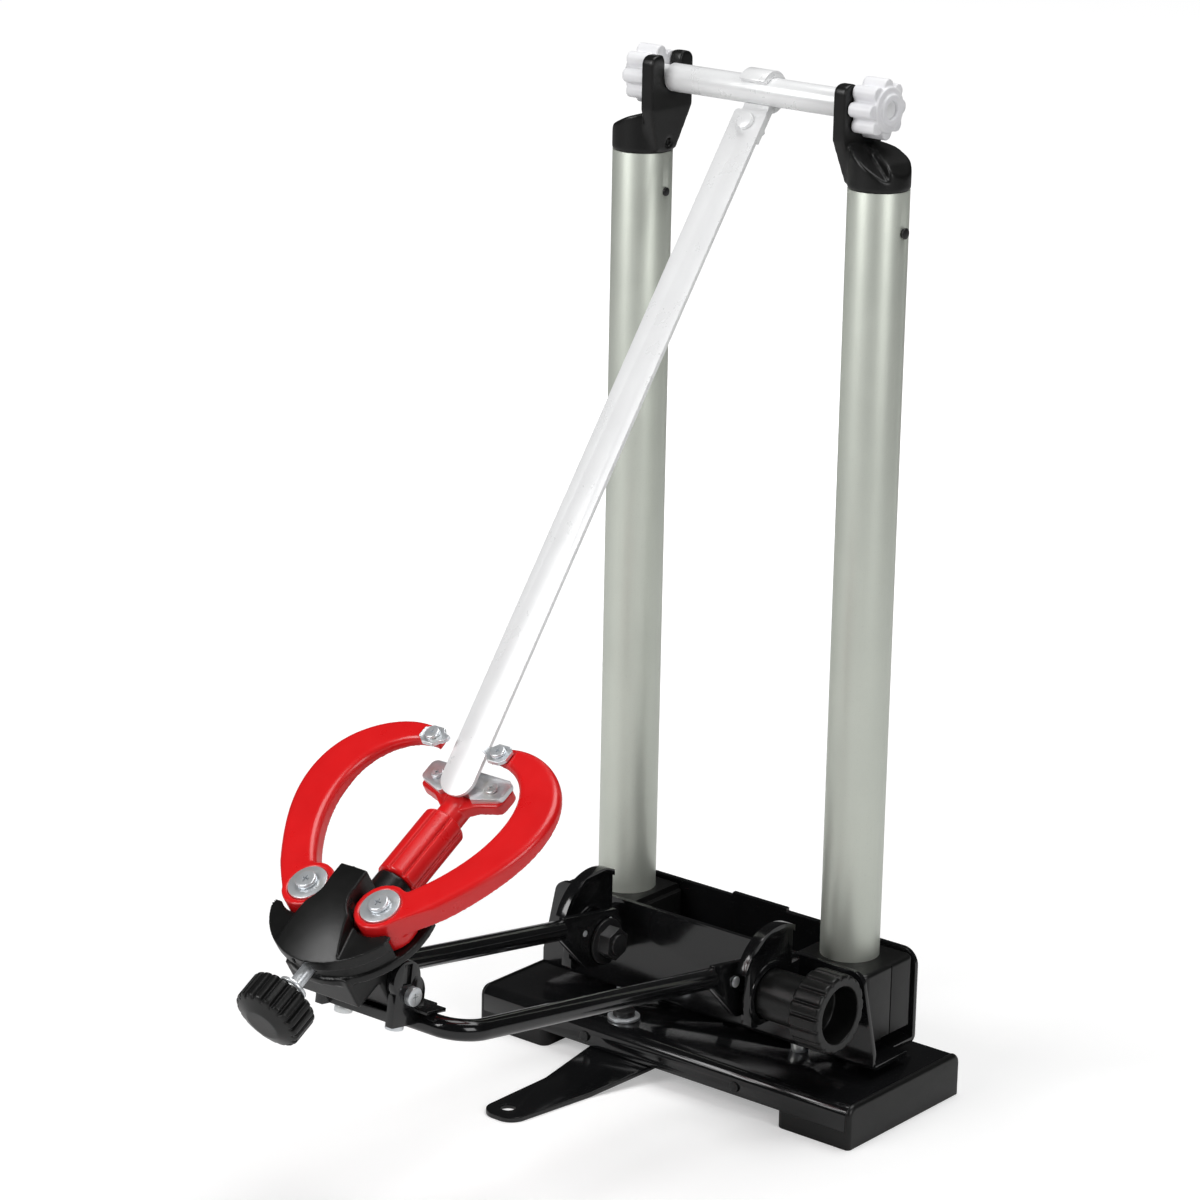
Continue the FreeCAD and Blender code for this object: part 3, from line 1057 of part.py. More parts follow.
def caliper_arm():
    """A sickle arm: a boss on its post, a curved blade and a short tail for the shuttle."""
    outer = size("arm_outer")
    inner = size("arm_inner")
    top = size("arm_top")
    throat = size("arm_throat")
    pivot = size("arm_pivot")
    boss = size("boss_radius")
    deep = size("arm_deep")
    face = size("arm_face")
    end = size("tip_red")
    post = size("pin_shank") + size("run_fit")

    def spot(x, s):
        return Vector(x, s, -deep)

    def smooth(*points):
        curve = Part.BSplineCurve()
        curve.interpolate(list(points))
        return curve.toShape()

    root = spot(pivot + boss*0.8, -boss*0.55)
    heel = spot(pivot + 1.97*boss, 0.67*boss)
    nose = spot(end, top - 3)
    chin = spot(end, throat + 4)
    crook = spot(pivot + 0.55*boss, 1.08*boss)
    core = spot(pivot, 0)
    edge = [
        Part.LineSegment(root, heel).toShape(),
        smooth(heel, spot(outer - 7.5, 0.31*top), spot(outer, 0.56*top),
               spot(outer - 3, 0.77*top), spot(outer - 15, 0.92*top),
               spot(outer - 35, top), nose),
        Part.LineSegment(nose, chin).toShape(),
        smooth(chin, spot(inner - 14.5, throat + 1), spot(inner - 3.5, 0.75*top),
               spot(inner, 0.56*top), spot(inner - 6, 0.32*top), crook),
        Part.LineSegment(crook, core).toShape(),
        Part.LineSegment(core, root).toShape(),
    ]
    up = Vector(0, 0, 1)
    blade = Part.Face(Part.Wire(edge)).extrude(up*(deep - face))
    low = Vector(-50, size("arm_taper"), -deep)
    side = [low, Vector(-50, top, -size("arm_shallow")), Vector(-50, 2*top, 0),
            Vector(-50, 2*top, -2*deep), Vector(-50, size("arm_taper"), -2*deep), low]
    thin = Part.Face(Part.makePolygon(side)).extrude(Vector(200, 0, 0))
    step = Part.makeBox(size("tip_end") + 50.5, 60, 50, Vector(-50, 0.6*top,
                                                               -size("tip_thick")))
    blade = blade.cut(thin)
    ridge = [e for e in blade.Edges if abs(e.CenterOfMass.z + face) < 0.01
             and e.Curve.TypeId == "Part::GeomBSplineCurve"]
    blade = blade.makeFillet(size("arm_round"), ridge).cut(step)
    bottom = size("deck_top") - size("run_gap")
    hub_disc = Part.makeCylinder(boss, bottom - face, Vector(pivot, 0, -bottom))
    clear = Part.makeCylinder(post, 60, Vector(pivot, 0, -40))
    sink = Part.makeCylinder(size("arm_washer") + 0.4, 9, Vector(pivot, 0, -size("pin_top")))
    tail_at = Vector(pivot - size("tail_reach"), -size("tail_back"), -size("tail_low"))
    tail = Part.makeCylinder(size("tail_radius"), size("tail_low") - size("tail_high"), tail_at)
    bar = Part.makeBox(math.hypot(size("tail_reach"), size("tail_back")),
                       2*size("tail_radius") - 1, size("tail_low") - size("tail_high"),
                       Vector(0, 0.5 - size("tail_radius"), 0))
    bar.rotate(Vector(), up, math.degrees(math.atan2(size("tail_back"), size("tail_reach"))))
    bar.translate(tail_at)
    arm = blade.fuse([hub_disc, tail, bar]).removeSplitter().cut(clear).cut(sink)
    thing = doc.addObject("Part::Feature", "ArmRight")
    thing.Shape = arm
    right = seat("caliper_arm_right", thing, caliper)
    mirror("caliper_arm_left", right)


def caliper_tip():
    """A plate with a blunt point that feels the rim, held to the arm by one screw."""
    body = new_body("Tip")
    prism(body, "XY_Plane", [
        ("tip_x", "tip_s - 1"), ("tip_x + 4", "tip_s - tip_half/2"),
        ("tip_screw_x - 3", "tip_s - tip_half"), ("tip_screw_x + 3", "tip_s - tip_half"),
        ("tip_end", "tip_s - tip_half/2"), ("tip_end", "tip_s + tip_half/2"),
        ("tip_screw_x + 3", "tip_s + tip_half"), ("tip_screw_x - 3", "tip_s + tip_half"),
        ("tip_x + 4", "tip_s + tip_half/2"), ("tip_x", "tip_s + 1"),
    ], "-tip_thick", "tip_thick")
    hole = cylinder("z", ("tip_screw_x", "tip_s", "-9"), "tip_screw + fit", "20")
    right = seat("caliper_tip_right", cut(body, hole), caliper)
    mirror("caliper_tip_left", right)
    screws = [fastener("z", (f"{side}tip_screw_x", "tip_s", "-tip_thick"), "tip_screw",
                       "tip_thick", "tip_head", "tip_head_high") for side in ("", "-")]
    for side, screw in zip(("right", "left"), screws):
        seat("tip_screw_" + side, group(screw), caliper)


# ---------------------------------------------------------------- thumb screw and shuttle
def shuttle():
    """A block that slides between deck and cover and pushes the tails of both arms."""
    body = new_body("Shuttle")
    prism(body, "XY_Plane", rectangle("-shuttle_half", "-shuttle_front - shuttle_long",
                                      "shuttle_half", "-shuttle_front"),
          "run_gap - deck_top", "deck_top - run_gap - shuttle_top")
    front = -size("shuttle_front")
    round_edges(body, "shuttle_round", lambda e: runs_along(e, "z") and at(e, "y", front))
    bore = cylinder("y", ("0", "-far", "-thumb_n"), "thumb_radius + run_fit",
                    "far - shuttle_front - 2")
    seat("shuttle", cut(body, bore), caliper)


def thumb_knob():
    """The knurled knob with a domed end, its screw and its lock nut."""
    body = turned("ThumbKnob", "y", [
        ("thumb_radius + fit", "-thumb_near"), ("thumb_knob_radius - knob_chamfer",
                                                "-thumb_near"),
        ("thumb_knob_radius", "-thumb_near - knob_chamfer"),
        ("thumb_knob_radius", "knob_chamfer - thumb_far"),
        ("thumb_knob_radius - knob_chamfer", "-thumb_far"),
        ("thumb_knob_radius/2", "-thumb_far - thumb_dome"), ("0", "-thumb_far - thumb_dome"),
        ("0", "thumb_bore - thumb_far"), ("thumb_radius + fit", "thumb_bore - thumb_far"),
    ], ("0", "0", "-thumb_n"))
    rib_round(body, "XZ_Plane", "thumb_knob_radius", "-thumb_far - 0.5",
              "thumb_far - thumb_near + 1", "thumb", ("0", "-thumb_n"))
    seat("thumb_knob", body, caliper)
    screw = turned("ThumbScrew", "y", rectangle(
        "0", "thumb_bore - thumb_far + fit", "thumb_radius", "-shuttle_front - 3"),
        ("0", "0", "-thumb_n"))
    seat("thumb_screw", screw, caliper)
    nut_foot = ("0", "-nut_place - thumb_nut_high", "-thumb_n")
    washer = cylinder("y", ("0", "-nut_place", "-thumb_n"), "thumb_nut + 1", "washer_thick")
    bore = cylinder("y", ("0", "-far", "-thumb_n"), "thumb_radius + fit", "far")
    seat("thumb_nut", cut(fuse(hexagon("y", nut_foot, "thumb_nut", "thumb_nut_high"), washer),
                          bore), caliper)


# ---------------------------------------------------------------- radial gauge
def radial_sleeve():
    """The ribbed sleeve that turns on the stub and drives the gauge along."""
    body = turned("Sleeve", "y", [
        ("stub_radius + run_fit", "sleeve_low"), ("sleeve_radius - knob_chamfer", "sleeve_low"),
        ("sleeve_radius", "sleeve_low + knob_chamfer"),
        ("sleeve_radius", "sleeve_top - knob_chamfer"),
        ("sleeve_radius - knob_chamfer", "sleeve_top"), ("gauge_rod + run_fit", "sleeve_top"),
        ("gauge_rod + run_fit", "sleeve_low + stub_long + run_gap"),
        ("stub_radius + run_fit", "sleeve_low + stub_long + run_gap"),
    ], ("0", "0", "-gauge_n"))
    rib_round(body, "XZ_Plane", "sleeve_radius", "sleeve_low - 1",
              "sleeve_top - sleeve_low + 2", "sleeve", ("0", "-gauge_n"))
    seat("radial_sleeve", body, caliper)


def radial_gauge():
    """The flat cross piece on its round rod, with a steel plate screwed to its face."""
    rod_low = "sleeve_low + stub_long + gauge_travel"
    rod = cylinder("y", ("0", rod_low, "-gauge_n"), "gauge_rod", f"tee_low + 2 - ({rod_low})")
    tee = new_body("Tee")
    prism(tee, "XY_Plane", [
        ("-tee_half", "tee_low + 3"), ("-tee_neck", "tee_low"), ("-gauge_rod", "tee_low - 4"),
        ("gauge_rod", "tee_low - 4"), ("tee_neck", "tee_low"), ("tee_half", "tee_low + 3"),
        ("tee_half", "tee_top"), ("-tee_half", "tee_top"),
    ], "-tee_face - tee_thick", "tee_thick")
    reach = size("tee_half")
    round_edges(tee, "tee_round", lambda e: runs_along(e, "z")
                and abs(abs(middle(e).x) - reach) < 0.01)
    holes = [cylinder("z", (f"{side}plate_screw_x", "plate_screw_s", "-far"),
                      "tip_screw + fit", "2*far") for side in ("", "-")]
    seat("radial_body", cut(fuse(rod, tee), *holes), caliper)
    plate = new_body("RadialPlate")
    prism(plate, "XY_Plane", [
        ("-tee_half", "plate_low"), ("-plate_dip_x", "plate_dip"), ("-gauge_rod", "plate_mid"),
        ("gauge_rod", "plate_mid"), ("plate_dip_x", "plate_dip"), ("tee_half", "plate_low"),
        ("tee_half", "tee_top + 1"), ("-tee_half", "tee_top + 1"),
    ], "-tee_face", "tee_face - plate_face")
    round_edges(plate, "tee_round", lambda e: runs_along(e, "z")
                and abs(abs(middle(e).x) - reach) < 0.01)
    more = [cylinder("z", (f"{side}plate_screw_x", "plate_screw_s", "-far"),
                     "tip_screw + fit", "2*far") for side in ("", "-")]
    seat("radial_plate", cut(plate, *more), caliper)
    screws = [fastener("z", (f"{side}plate_screw_x", "plate_screw_s", "-tee_face - tee_thick"),
                       "tip_screw", "tee_thick + tee_face - plate_face", "tip_head - 0.4",
                       "radial_head_high") for side in ("", "-")]
    seat("radial_screws", group(*screws), caliper)


# ---------------------------------------------------------------- build, test and write
def check_document():
    """Stop on any failed object or bad shape, before anything is written."""
    doc.recompute()
    for thing in doc.Objects:
        if "Invalid" in thing.State or "Error" in thing.State:
            raise RuntimeError(f"{thing.Name} ({thing.Label}) failed: {thing.State}")
    for label, thing in nodes.items():
        if thing.Shape.isNull() or not thing.Shape.isValid() or not thing.Shape.Solids:
            raise RuntimeError(label + " has no valid solid")


def write_nodes():
    os.makedirs("parts", exist_ok=True)
    for label, thing in nodes.items():
        thing.Shape.exportStep(f"parts/{label}.step")
    print(len(nodes), "nodes written")


base_channel()
end_cap()
lip_rivets()
tray_channel()
tray_fixings()
pinion_stud()
pinion()
pivot_ear()
support_leg()
leg_fixings()
pillar_block()
pillar_tube()
pillar_cap()
cap_pin()
rack()
star_knob()
gauge_axle()
gauge_blade()
pivot_shaft()
barrel_knob()
swing_rod()
arm_plate()
head_bracket()
head_base()
head_hood()
arm_fixings()
caliper_arm()
caliper_tip()
shuttle()
thumb_knob()
radial_sleeve()
radial_gauge()
check_document()
write_nodes()
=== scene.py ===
import bpy
import bmesh
import json
import math
from mathutils import Matrix, Vector


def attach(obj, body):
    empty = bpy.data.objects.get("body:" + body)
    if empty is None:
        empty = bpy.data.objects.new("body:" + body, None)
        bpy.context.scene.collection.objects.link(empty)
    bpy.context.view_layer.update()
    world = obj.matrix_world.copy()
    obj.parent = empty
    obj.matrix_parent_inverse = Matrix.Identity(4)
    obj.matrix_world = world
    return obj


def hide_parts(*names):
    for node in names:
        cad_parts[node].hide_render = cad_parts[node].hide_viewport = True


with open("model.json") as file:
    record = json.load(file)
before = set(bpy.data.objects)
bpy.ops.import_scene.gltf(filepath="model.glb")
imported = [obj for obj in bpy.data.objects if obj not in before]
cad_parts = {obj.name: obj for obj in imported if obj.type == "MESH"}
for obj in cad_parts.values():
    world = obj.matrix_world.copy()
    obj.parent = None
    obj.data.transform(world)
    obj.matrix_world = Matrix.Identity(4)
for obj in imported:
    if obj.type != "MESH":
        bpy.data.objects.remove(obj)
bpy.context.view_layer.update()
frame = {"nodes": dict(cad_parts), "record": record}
nodes = frame["nodes"]
bodyOf = {node: body for body, group in frame["record"]["behaviour"]["bodies"].items()
          for node in group}
slotOf = {part["node"]: part["material_slot"] for part in frame["record"]["subparts"]}
mm = 0.001
print("frame loaded,", len(nodes), "nodes")


# camera, lights and floor
view = {
    "place": (1.08418, -1.29504, 0.76914),
    "azimuth": 39.045,
    "elevation": 16.868,
    "roll": 1.097,
    "lens": 123.03,
    "sensor": 36,
    "farthest": 50,
}


def makeCamera():
    data = bpy.data.cameras.new("camera")
    data.lens = view["lens"]
    data.sensor_width = view["sensor"]
    data.clip_end = view["farthest"]
    camera = bpy.data.objects.new("camera", data)
    turn = (Matrix.Rotation(math.radians(view["azimuth"]), 4, "Z")
            @ Matrix.Rotation(math.radians(90 - view["elevation"]), 4, "X")
            @ Matrix.Rotation(math.radians(view["roll"]), 4, "Z"))
    camera.matrix_world = Matrix.Translation(view["place"]) @ turn
    bpy.context.collection.objects.link(camera)
    bpy.context.scene.camera = camera


softboxes = [  # place, point it faces, size, power
    {"place": (-0.9, -1.9, 1.5), "aim": (0, 0, 0.2), "size": 1.2, "power": 36},
    {"place": (2.0, -0.5, 1.1), "aim": (0, 0, 0.25), "size": 1.0, "power": 14.5},
    {"place": (0.2, 0.5, 2.2), "aim": (0, 0, 0.1), "size": 1.5, "power": 31},
]


def makeLights():
    for number, box in enumerate(softboxes):
        data = bpy.data.lights.new(f"softbox{number}", "AREA")
        data.size = box["size"]
        data.energy = box["power"]
        lamp = bpy.data.objects.new(f"softbox{number}", data)
        way = Vector(box["aim"]) - Vector(box["place"])
        lamp.matrix_world = (Matrix.Translation(box["place"])
                             @ way.to_track_quat("-Z", "Y").to_matrix().to_4x4())
        bpy.context.collection.objects.link(lamp)


studio = {
    "worldLight": 0.03,  # for everything but the camera, which sees plain white
    "floorColor": 0.8,
    "floorRoughness": 0.9,
    "floorSpecular": 0.1,
    "nearLift": 0.34,  # glow of the floor close to the stand, for the camera only
    "farLift": 0.9,
    "fadeStart": 0.25,  # distances from the middle, in metres
    "fadeEnd": 1.3,
    "floorHalf": 14,
}


def makeWorld():
    world = bpy.data.worlds.new("studio")
    world.use_nodes = True
    tree = world.node_tree
    back = tree.nodes["Background"]
    path = tree.nodes.new("ShaderNodeLightPath")
    level = tree.nodes.new("ShaderNodeMath")
    level.operation = "MULTIPLY_ADD"
    tree.links.new(path.outputs["Is Camera Ray"], level.inputs[0])
    level.inputs[1].default_value = 1 - studio["worldLight"]
    level.inputs[2].default_value = studio["worldLight"]
    back.inputs["Color"].default_value = (1, 1, 1, 1)
    tree.links.new(level.outputs[0], back.inputs["Strength"])
    bpy.context.scene.world = world
    bpy.context.scene.view_settings.view_transform = "Standard"


def makeFloor():
    shape = bmesh.new()
    bmesh.ops.create_grid(shape, x_segments=1, y_segments=1, size=studio["floorHalf"])
    mesh = bpy.data.meshes.new("floor")
    shape.to_mesh(mesh)
    shape.free()
    floor = bpy.data.objects.new("floor", mesh)
    bpy.context.collection.objects.link(floor)
    floor.data.materials.append(floorFinish())


def floorFinish():
    finish = bpy.data.materials.new("paleFloor")
    finish.use_nodes = True
    tree = finish.node_tree
    shader = tree.nodes["Principled BSDF"]
    shader.inputs["Base Color"].default_value = (*[studio["floorColor"]] * 3, 1)
    shader.inputs["Roughness"].default_value = studio["floorRoughness"]
    shader.inputs["Specular IOR Level"].default_value = studio["floorSpecular"]
    shader.inputs["Emission Color"].default_value = (1, 1, 1, 1)
    place = tree.nodes.new("ShaderNodeTexCoord")
    reach = tree.nodes.new("ShaderNodeVectorMath")
    reach.operation = "LENGTH"
    tree.links.new(place.outputs["Object"], reach.inputs[0])
    fade = tree.nodes.new("ShaderNodeMapRange")
    fade.interpolation_type = "SMOOTHSTEP"
    fade.inputs["From Min"].default_value = studio["fadeStart"]
    fade.inputs["From Max"].default_value = studio["fadeEnd"]
    fade.inputs["To Min"].default_value = studio["nearLift"]
    fade.inputs["To Max"].default_value = studio["farLift"]
    tree.links.new(reach.outputs["Value"], fade.inputs["Value"])
    path = tree.nodes.new("ShaderNodeLightPath")
    lift = tree.nodes.new("ShaderNodeMath")
    lift.operation = "MULTIPLY"
    tree.links.new(path.outputs["Is Camera Ray"], lift.inputs[0])
    tree.links.new(fade.outputs["Result"], lift.inputs[1])
    tree.links.new(lift.outputs[0], shader.inputs["Emission Strength"])
    return finish


makeCamera()
makeLights()
makeWorld()
makeFloor()
print("camera, lights and floor ready")


# shader groups: each gives only colours, masks, values or normals
# inputs are label -> (kind, start value), outputs are label -> kind
def newGroup(name, inputs, outputs):
    group = bpy.data.node_groups.new(name, "ShaderNodeTree")
    for label, (kind, value) in inputs.items():
        socket = group.interface.new_socket(label, in_out="INPUT", socket_type="NodeSocket" + kind)
        if value is not None:
            socket.default_value = value
    for label, kind in outputs.items():
        group.interface.new_socket(label, in_out="OUTPUT", socket_type="NodeSocket" + kind)
    take = group.nodes.new("NodeGroupInput").outputs
    give = group.nodes.new("NodeGroupOutput").inputs
    return group, take, give


def fill(tree, socket, value):  # a socket takes a link or a fixed value
    if isinstance(value, bpy.types.NodeSocket):
        tree.links.new(value, socket)
    else:
        socket.default_value = value


def addNode(tree, kind, values=None, **settings):  # values: input -> number, colour or socket
    node = tree.nodes.new("ShaderNode" + kind)
    for label, value in settings.items():
        setattr(node, label, value)
    for label, value in (values or {}).items():
        fill(tree, node.inputs[label], value)
    return node


def noise(tree, place, scale, detail=2.0, rough=0.5):
    return addNode(tree, "TexNoise", {"Vector": place, "Scale": scale, "Detail": detail,
                                      "Roughness": rough}).outputs["Fac"]


def spread(tree, value, low, high, toLow=0.0, toHigh=1.0):
    return addNode(tree, "MapRange", {"Value": value, "From Min": low, "From Max": high,
                                      "To Min": toLow, "To Max": toHigh}).outputs["Result"]


def sums(tree, operation, first, second, third=0.0):
    node = addNode(tree, "Math", {0: first, 1: second, 2: third}, operation=operation)
    return node.outputs[0]


def mixColor(tree, amount, first, second):
    node = addNode(tree, "Mix", data_type="RGBA")
    for number, value in ((0, amount), (6, first), (7, second)):  # factor and colour sockets
        fill(tree, node.inputs[number], value)
    return node.outputs[2]


def makeSkin():  # slow clouds of tone, small flecks, and hazy patches in the gloss
    group, take, give = newGroup("skin", {
        "Place": ("Vector", None), "Base": ("Color", (0.5, 0.5, 0.5, 1)),
        "Shade": ("Color", (0.4, 0.4, 0.4, 1)), "Cloud Size": ("Float", 40.0),
        "Fleck Color": ("Color", (0.6, 0.6, 0.6, 1)), "Fleck Size": ("Float", 600.0),
        "Fleck": ("Float", 0.1), "Roughness": ("Float", 0.4), "Haze": ("Float", 0.1),
    }, {"Color": "Color", "Roughness": "Float"})
    cloud = spread(group, noise(group, take["Place"], take["Cloud Size"], 4), 0.35, 0.65)
    tone = mixColor(group, cloud, take["Base"], take["Shade"])
    fleck = spread(group, noise(group, take["Place"], take["Fleck Size"], 3, 0.6), 0.58, 0.7)
    speck = sums(group, "MULTIPLY", fleck, take["Fleck"])
    group.links.new(mixColor(group, speck, tone, take["Fleck Color"]), give["Color"])
    size = sums(group, "MULTIPLY", take["Cloud Size"], 2.3)
    haze = spread(group, noise(group, take["Place"], size, 5, 0.65), 0.3, 0.7, -0.5, 0.5)
    rough = sums(group, "MULTIPLY_ADD", haze, take["Haze"], take["Roughness"])
    group.links.new(sums(group, "MULTIPLY_ADD", speck, 0.12, rough), give["Roughness"])
    return group


def makeRelief():  # fine grain over a slow wave, as a height
    group, take, give = newGroup("relief", {
        "Place": ("Vector", None), "Fine Size": ("Float", 1500.0), "Fine": ("Float", 0.2),
        "Wave Size": ("Float", 90.0), "Wave": ("Float", 0.5),
    }, {"Height": "Float"})
    grain = noise(group, take["Place"], take["Fine Size"], 3, 0.6)
    fine = sums(group, "MULTIPLY", grain, take["Fine"])
    wave = noise(group, take["Place"], take["Wave Size"], 1)
    group.links.new(sums(group, "MULTIPLY_ADD", wave, take["Wave"], fine), give["Height"])
    return group


def makeRub():  # where edges are touched: a mask along them, broken up
    group, take, give = newGroup("rub", {
        "Place": ("Vector", None), "Width": ("Float", 0.0006), "Break Size": ("Float", 260.0),
        "Amount": ("Float", 0.5),
    }, {"Mask": "Float"})
    rolled = addNode(group, "Bevel", {"Radius": take["Width"]}, samples=4)
    flat = addNode(group, "NewGeometry")
    turn = addNode(group, "VectorMath", {0: rolled.outputs["Normal"], 1: flat.outputs["Normal"]},
                   operation="DOT_PRODUCT")
    edge = spread(group, turn.outputs["Value"], 0.995, 0.86)
    gaps = spread(group, noise(group, take["Place"], take["Break Size"], 4, 0.7), 0.42, 0.62)
    both = sums(group, "MULTIPLY", edge, gaps)
    group.links.new(sums(group, "MULTIPLY", both, take["Amount"]), give["Mask"])
    return group


def makeStreaks():  # long fine lines along Z, as drawing through a die leaves them
    group, take, give = newGroup("streaks", {
        "Place": ("Vector", None), "Fine Size": ("Float", 900.0), "Length": ("Float", 0.015),
    }, {"Line": "Float", "Band": "Float"})
    parts = addNode(group, "SeparateXYZ", {0: take["Place"]})
    shrunk = sums(group, "MULTIPLY", parts.outputs["Z"], take["Length"])
    drawn = addNode(group, "CombineXYZ", {"X": parts.outputs["X"], "Y": parts.outputs["Y"],
                                          "Z": shrunk}).outputs[0]
    group.links.new(noise(group, drawn, take["Fine Size"], 3, 0.7), give["Line"])
    wide = sums(group, "MULTIPLY", take["Fine Size"], 0.12)
    group.links.new(noise(group, drawn, wide, 2), give["Band"])
    return group


def makeSpangle():  # zinc plate: cells of brighter and duller metal, a warm cast here and there
    group, take, give = newGroup("spangle", {
        "Place": ("Vector", None), "Base": ("Color", (0.7, 0.7, 0.7, 1)),
        "Cast": ("Color", (0.7, 0.66, 0.5, 1)), "Cell Size": ("Float", 500.0),
    }, {"Color": "Color", "Cell": "Float"})
    cells = addNode(group, "TexVoronoi", {"Vector": take["Place"], "Scale": take["Cell Size"]})
    grey = addNode(group, "SeparateColor", {0: cells.outputs["Color"]}).outputs[0]
    warm = spread(group, noise(group, take["Place"], 130.0, 3), 0.45, 0.7)
    tone = mixColor(group, warm, take["Base"], take["Cast"])
    dark = mixColor(group, spread(group, grey, 0.0, 1.0, 0.0, 0.18), tone, (0.58, 0.60, 0.62, 1))
    group.links.new(dark, give["Color"])
    group.links.new(grey, give["Cell"])
    return group


skinGroup, reliefGroup, rubGroup = makeSkin(), makeRelief(), makeRub()
streakGroup, spangleGroup = makeStreaks(), makeSpangle()


def useGroup(tree, group, values):
    node = tree.nodes.new("ShaderNodeGroup")
    node.node_tree = group
    for label, value in values.items():
        fill(tree, node.inputs[label], value)
    return node.outputs


finishes = {  # colours are linear; sizes are noise scales per metre
    "gloss_black": {
        "base": (0.0046, 0.0048, 0.0052), "shade": (0.0066, 0.0068, 0.0073), "clouds": 30,
        "fleck": (0.05, 0.05, 0.048), "fleckSize": 1100, "flecks": 0.05,
        "roughness": 0.15, "haze": 0.07, "metallic": 0.0, "specular": 0.42, "coat": 0.25,
        "fineSize": 1600, "fine": 0.05, "waveSize": 160, "wave": 0.7, "bump": 0.06,
        "rub": (0.03, 0.03, 0.031), "rubbed": 0.45, "rubWidth": 0.0006,
    },
    "black_plastic": {
        "base": (0.0050, 0.0051, 0.0050), "shade": (0.0074, 0.0075, 0.0073), "clouds": 50,
        "fleck": (0.04, 0.04, 0.039), "fleckSize": 1500, "flecks": 0.08,
        "roughness": 0.33, "haze": 0.08, "metallic": 0.0, "specular": 0.34, "coat": 0.0,
        "fineSize": 2400, "fine": 0.8, "waveSize": 110, "wave": 0.3, "bump": 0.09,
        "rub": (0.035, 0.035, 0.035), "rubbed": 0.45, "rubWidth": 0.0008,
    },
    "red_plastic": {
        "base": (0.735, 0.0100, 0.0117), "shade": (0.675, 0.0080, 0.0096), "clouds": 40,
        "fleck": (0.735, 0.045, 0.045), "fleckSize": 1300, "flecks": 0.05,
        "roughness": 0.30, "haze": 0.07, "metallic": 0.0, "specular": 0.5, "coat": 0.15,
        "fineSize": 2000, "fine": 0.6, "waveSize": 120, "wave": 0.3, "bump": 0.05,
        "rub": (0.75, 0.085, 0.075), "rubbed": 0.30, "rubWidth": 0.0007,
    },
    "zinc_steel": {
        "base": (0.82, 0.85, 0.88), "shade": (0.76, 0.79, 0.82), "clouds": 120,
        "cast": (0.80, 0.79, 0.72), "cellSize": 420,
        "fleck": (0.52, 0.51, 0.48), "fleckSize": 1700, "flecks": 0.10,
        "roughness": 0.34, "haze": 0.09, "metallic": 0.7, "specular": 0.5, "coat": 0.0,
        "fineSize": 2600, "fine": 0.5, "waveSize": 300, "wave": 0.15, "bump": 0.03,
        "rub": (0.90, 0.91, 0.91), "rubbed": 0.6, "rubWidth": 0.0004,
    },
    "tube_aluminium": {
        "base": (0.705, 0.74, 0.665), "shade": (0.655, 0.69, 0.62), "clouds": 20,
        "fleck": (0.51, 0.53, 0.49), "fleckSize": 1300, "flecks": 0.18,
        "roughness": 0.42, "haze": 0.06, "metallic": 0.5, "specular": 0.5, "coat": 0.0,
        "fineSize": 2600, "fine": 0.4, "waveSize": 60, "wave": 0.1, "bump": 0.05,
        "rub": (0.73, 0.74, 0.71), "rubbed": 0.5, "rubWidth": 0.0005,
        "streaks": 0.25,
    },
    "black_steel": {
        "base": (0.012, 0.0122, 0.0128), "shade": (0.020, 0.020, 0.021), "clouds": 120,
        "fleck": (0.12, 0.115, 0.105), "fleckSize": 1500, "flecks": 0.22,
        "roughness": 0.33, "haze": 0.12, "metallic": 0.3, "specular": 0.5, "coat": 0.0,
        "fineSize": 2300, "fine": 0.8, "waveSize": 260, "wave": 0.4, "bump": 0.12,
        "rub": (0.16, 0.16, 0.155), "rubbed": 0.6, "rubWidth": 0.0005,
    },
    "pale_metal": {
        "base": (0.92, 0.925, 0.93), "shade": (0.88, 0.885, 0.89), "clouds": 30,
        "fleck": (0.86, 0.865, 0.87), "fleckSize": 1300, "flecks": 0.06,
        "roughness": 0.30, "haze": 0.10, "metallic": 0.15, "specular": 0.5, "coat": 0.0,
        "fineSize": 2200, "fine": 0.5, "waveSize": 110, "wave": 0.2, "bump": 0.05,
        "rub": (0.93, 0.93, 0.93), "rubbed": 0.3, "rubWidth": 0.0004,
        "streaks": 0.10,
    },
    "pale_plastic": {
        "base": (0.87, 0.87, 0.885), "shade": (0.81, 0.81, 0.835), "clouds": 60,
        "fleck": (0.68, 0.68, 0.71), "fleckSize": 1500, "flecks": 0.14,
        "roughness": 0.38, "haze": 0.10, "metallic": 0.0, "specular": 0.5, "coat": 0.0,
        "fineSize": 2200, "fine": 0.8, "waveSize": 130, "wave": 0.4, "bump": 0.10,
        "rub": (0.92, 0.92, 0.92), "rubbed": 0.4, "rubWidth": 0.0006,
    },
}


reliefDepth = 0.0004  # metres, for the grain of every finish
coatRoughness = 0.08
bandSwing = 0.12  # how much the drawn lines change the gloss


def opaque(color):
    return (*color, 1)


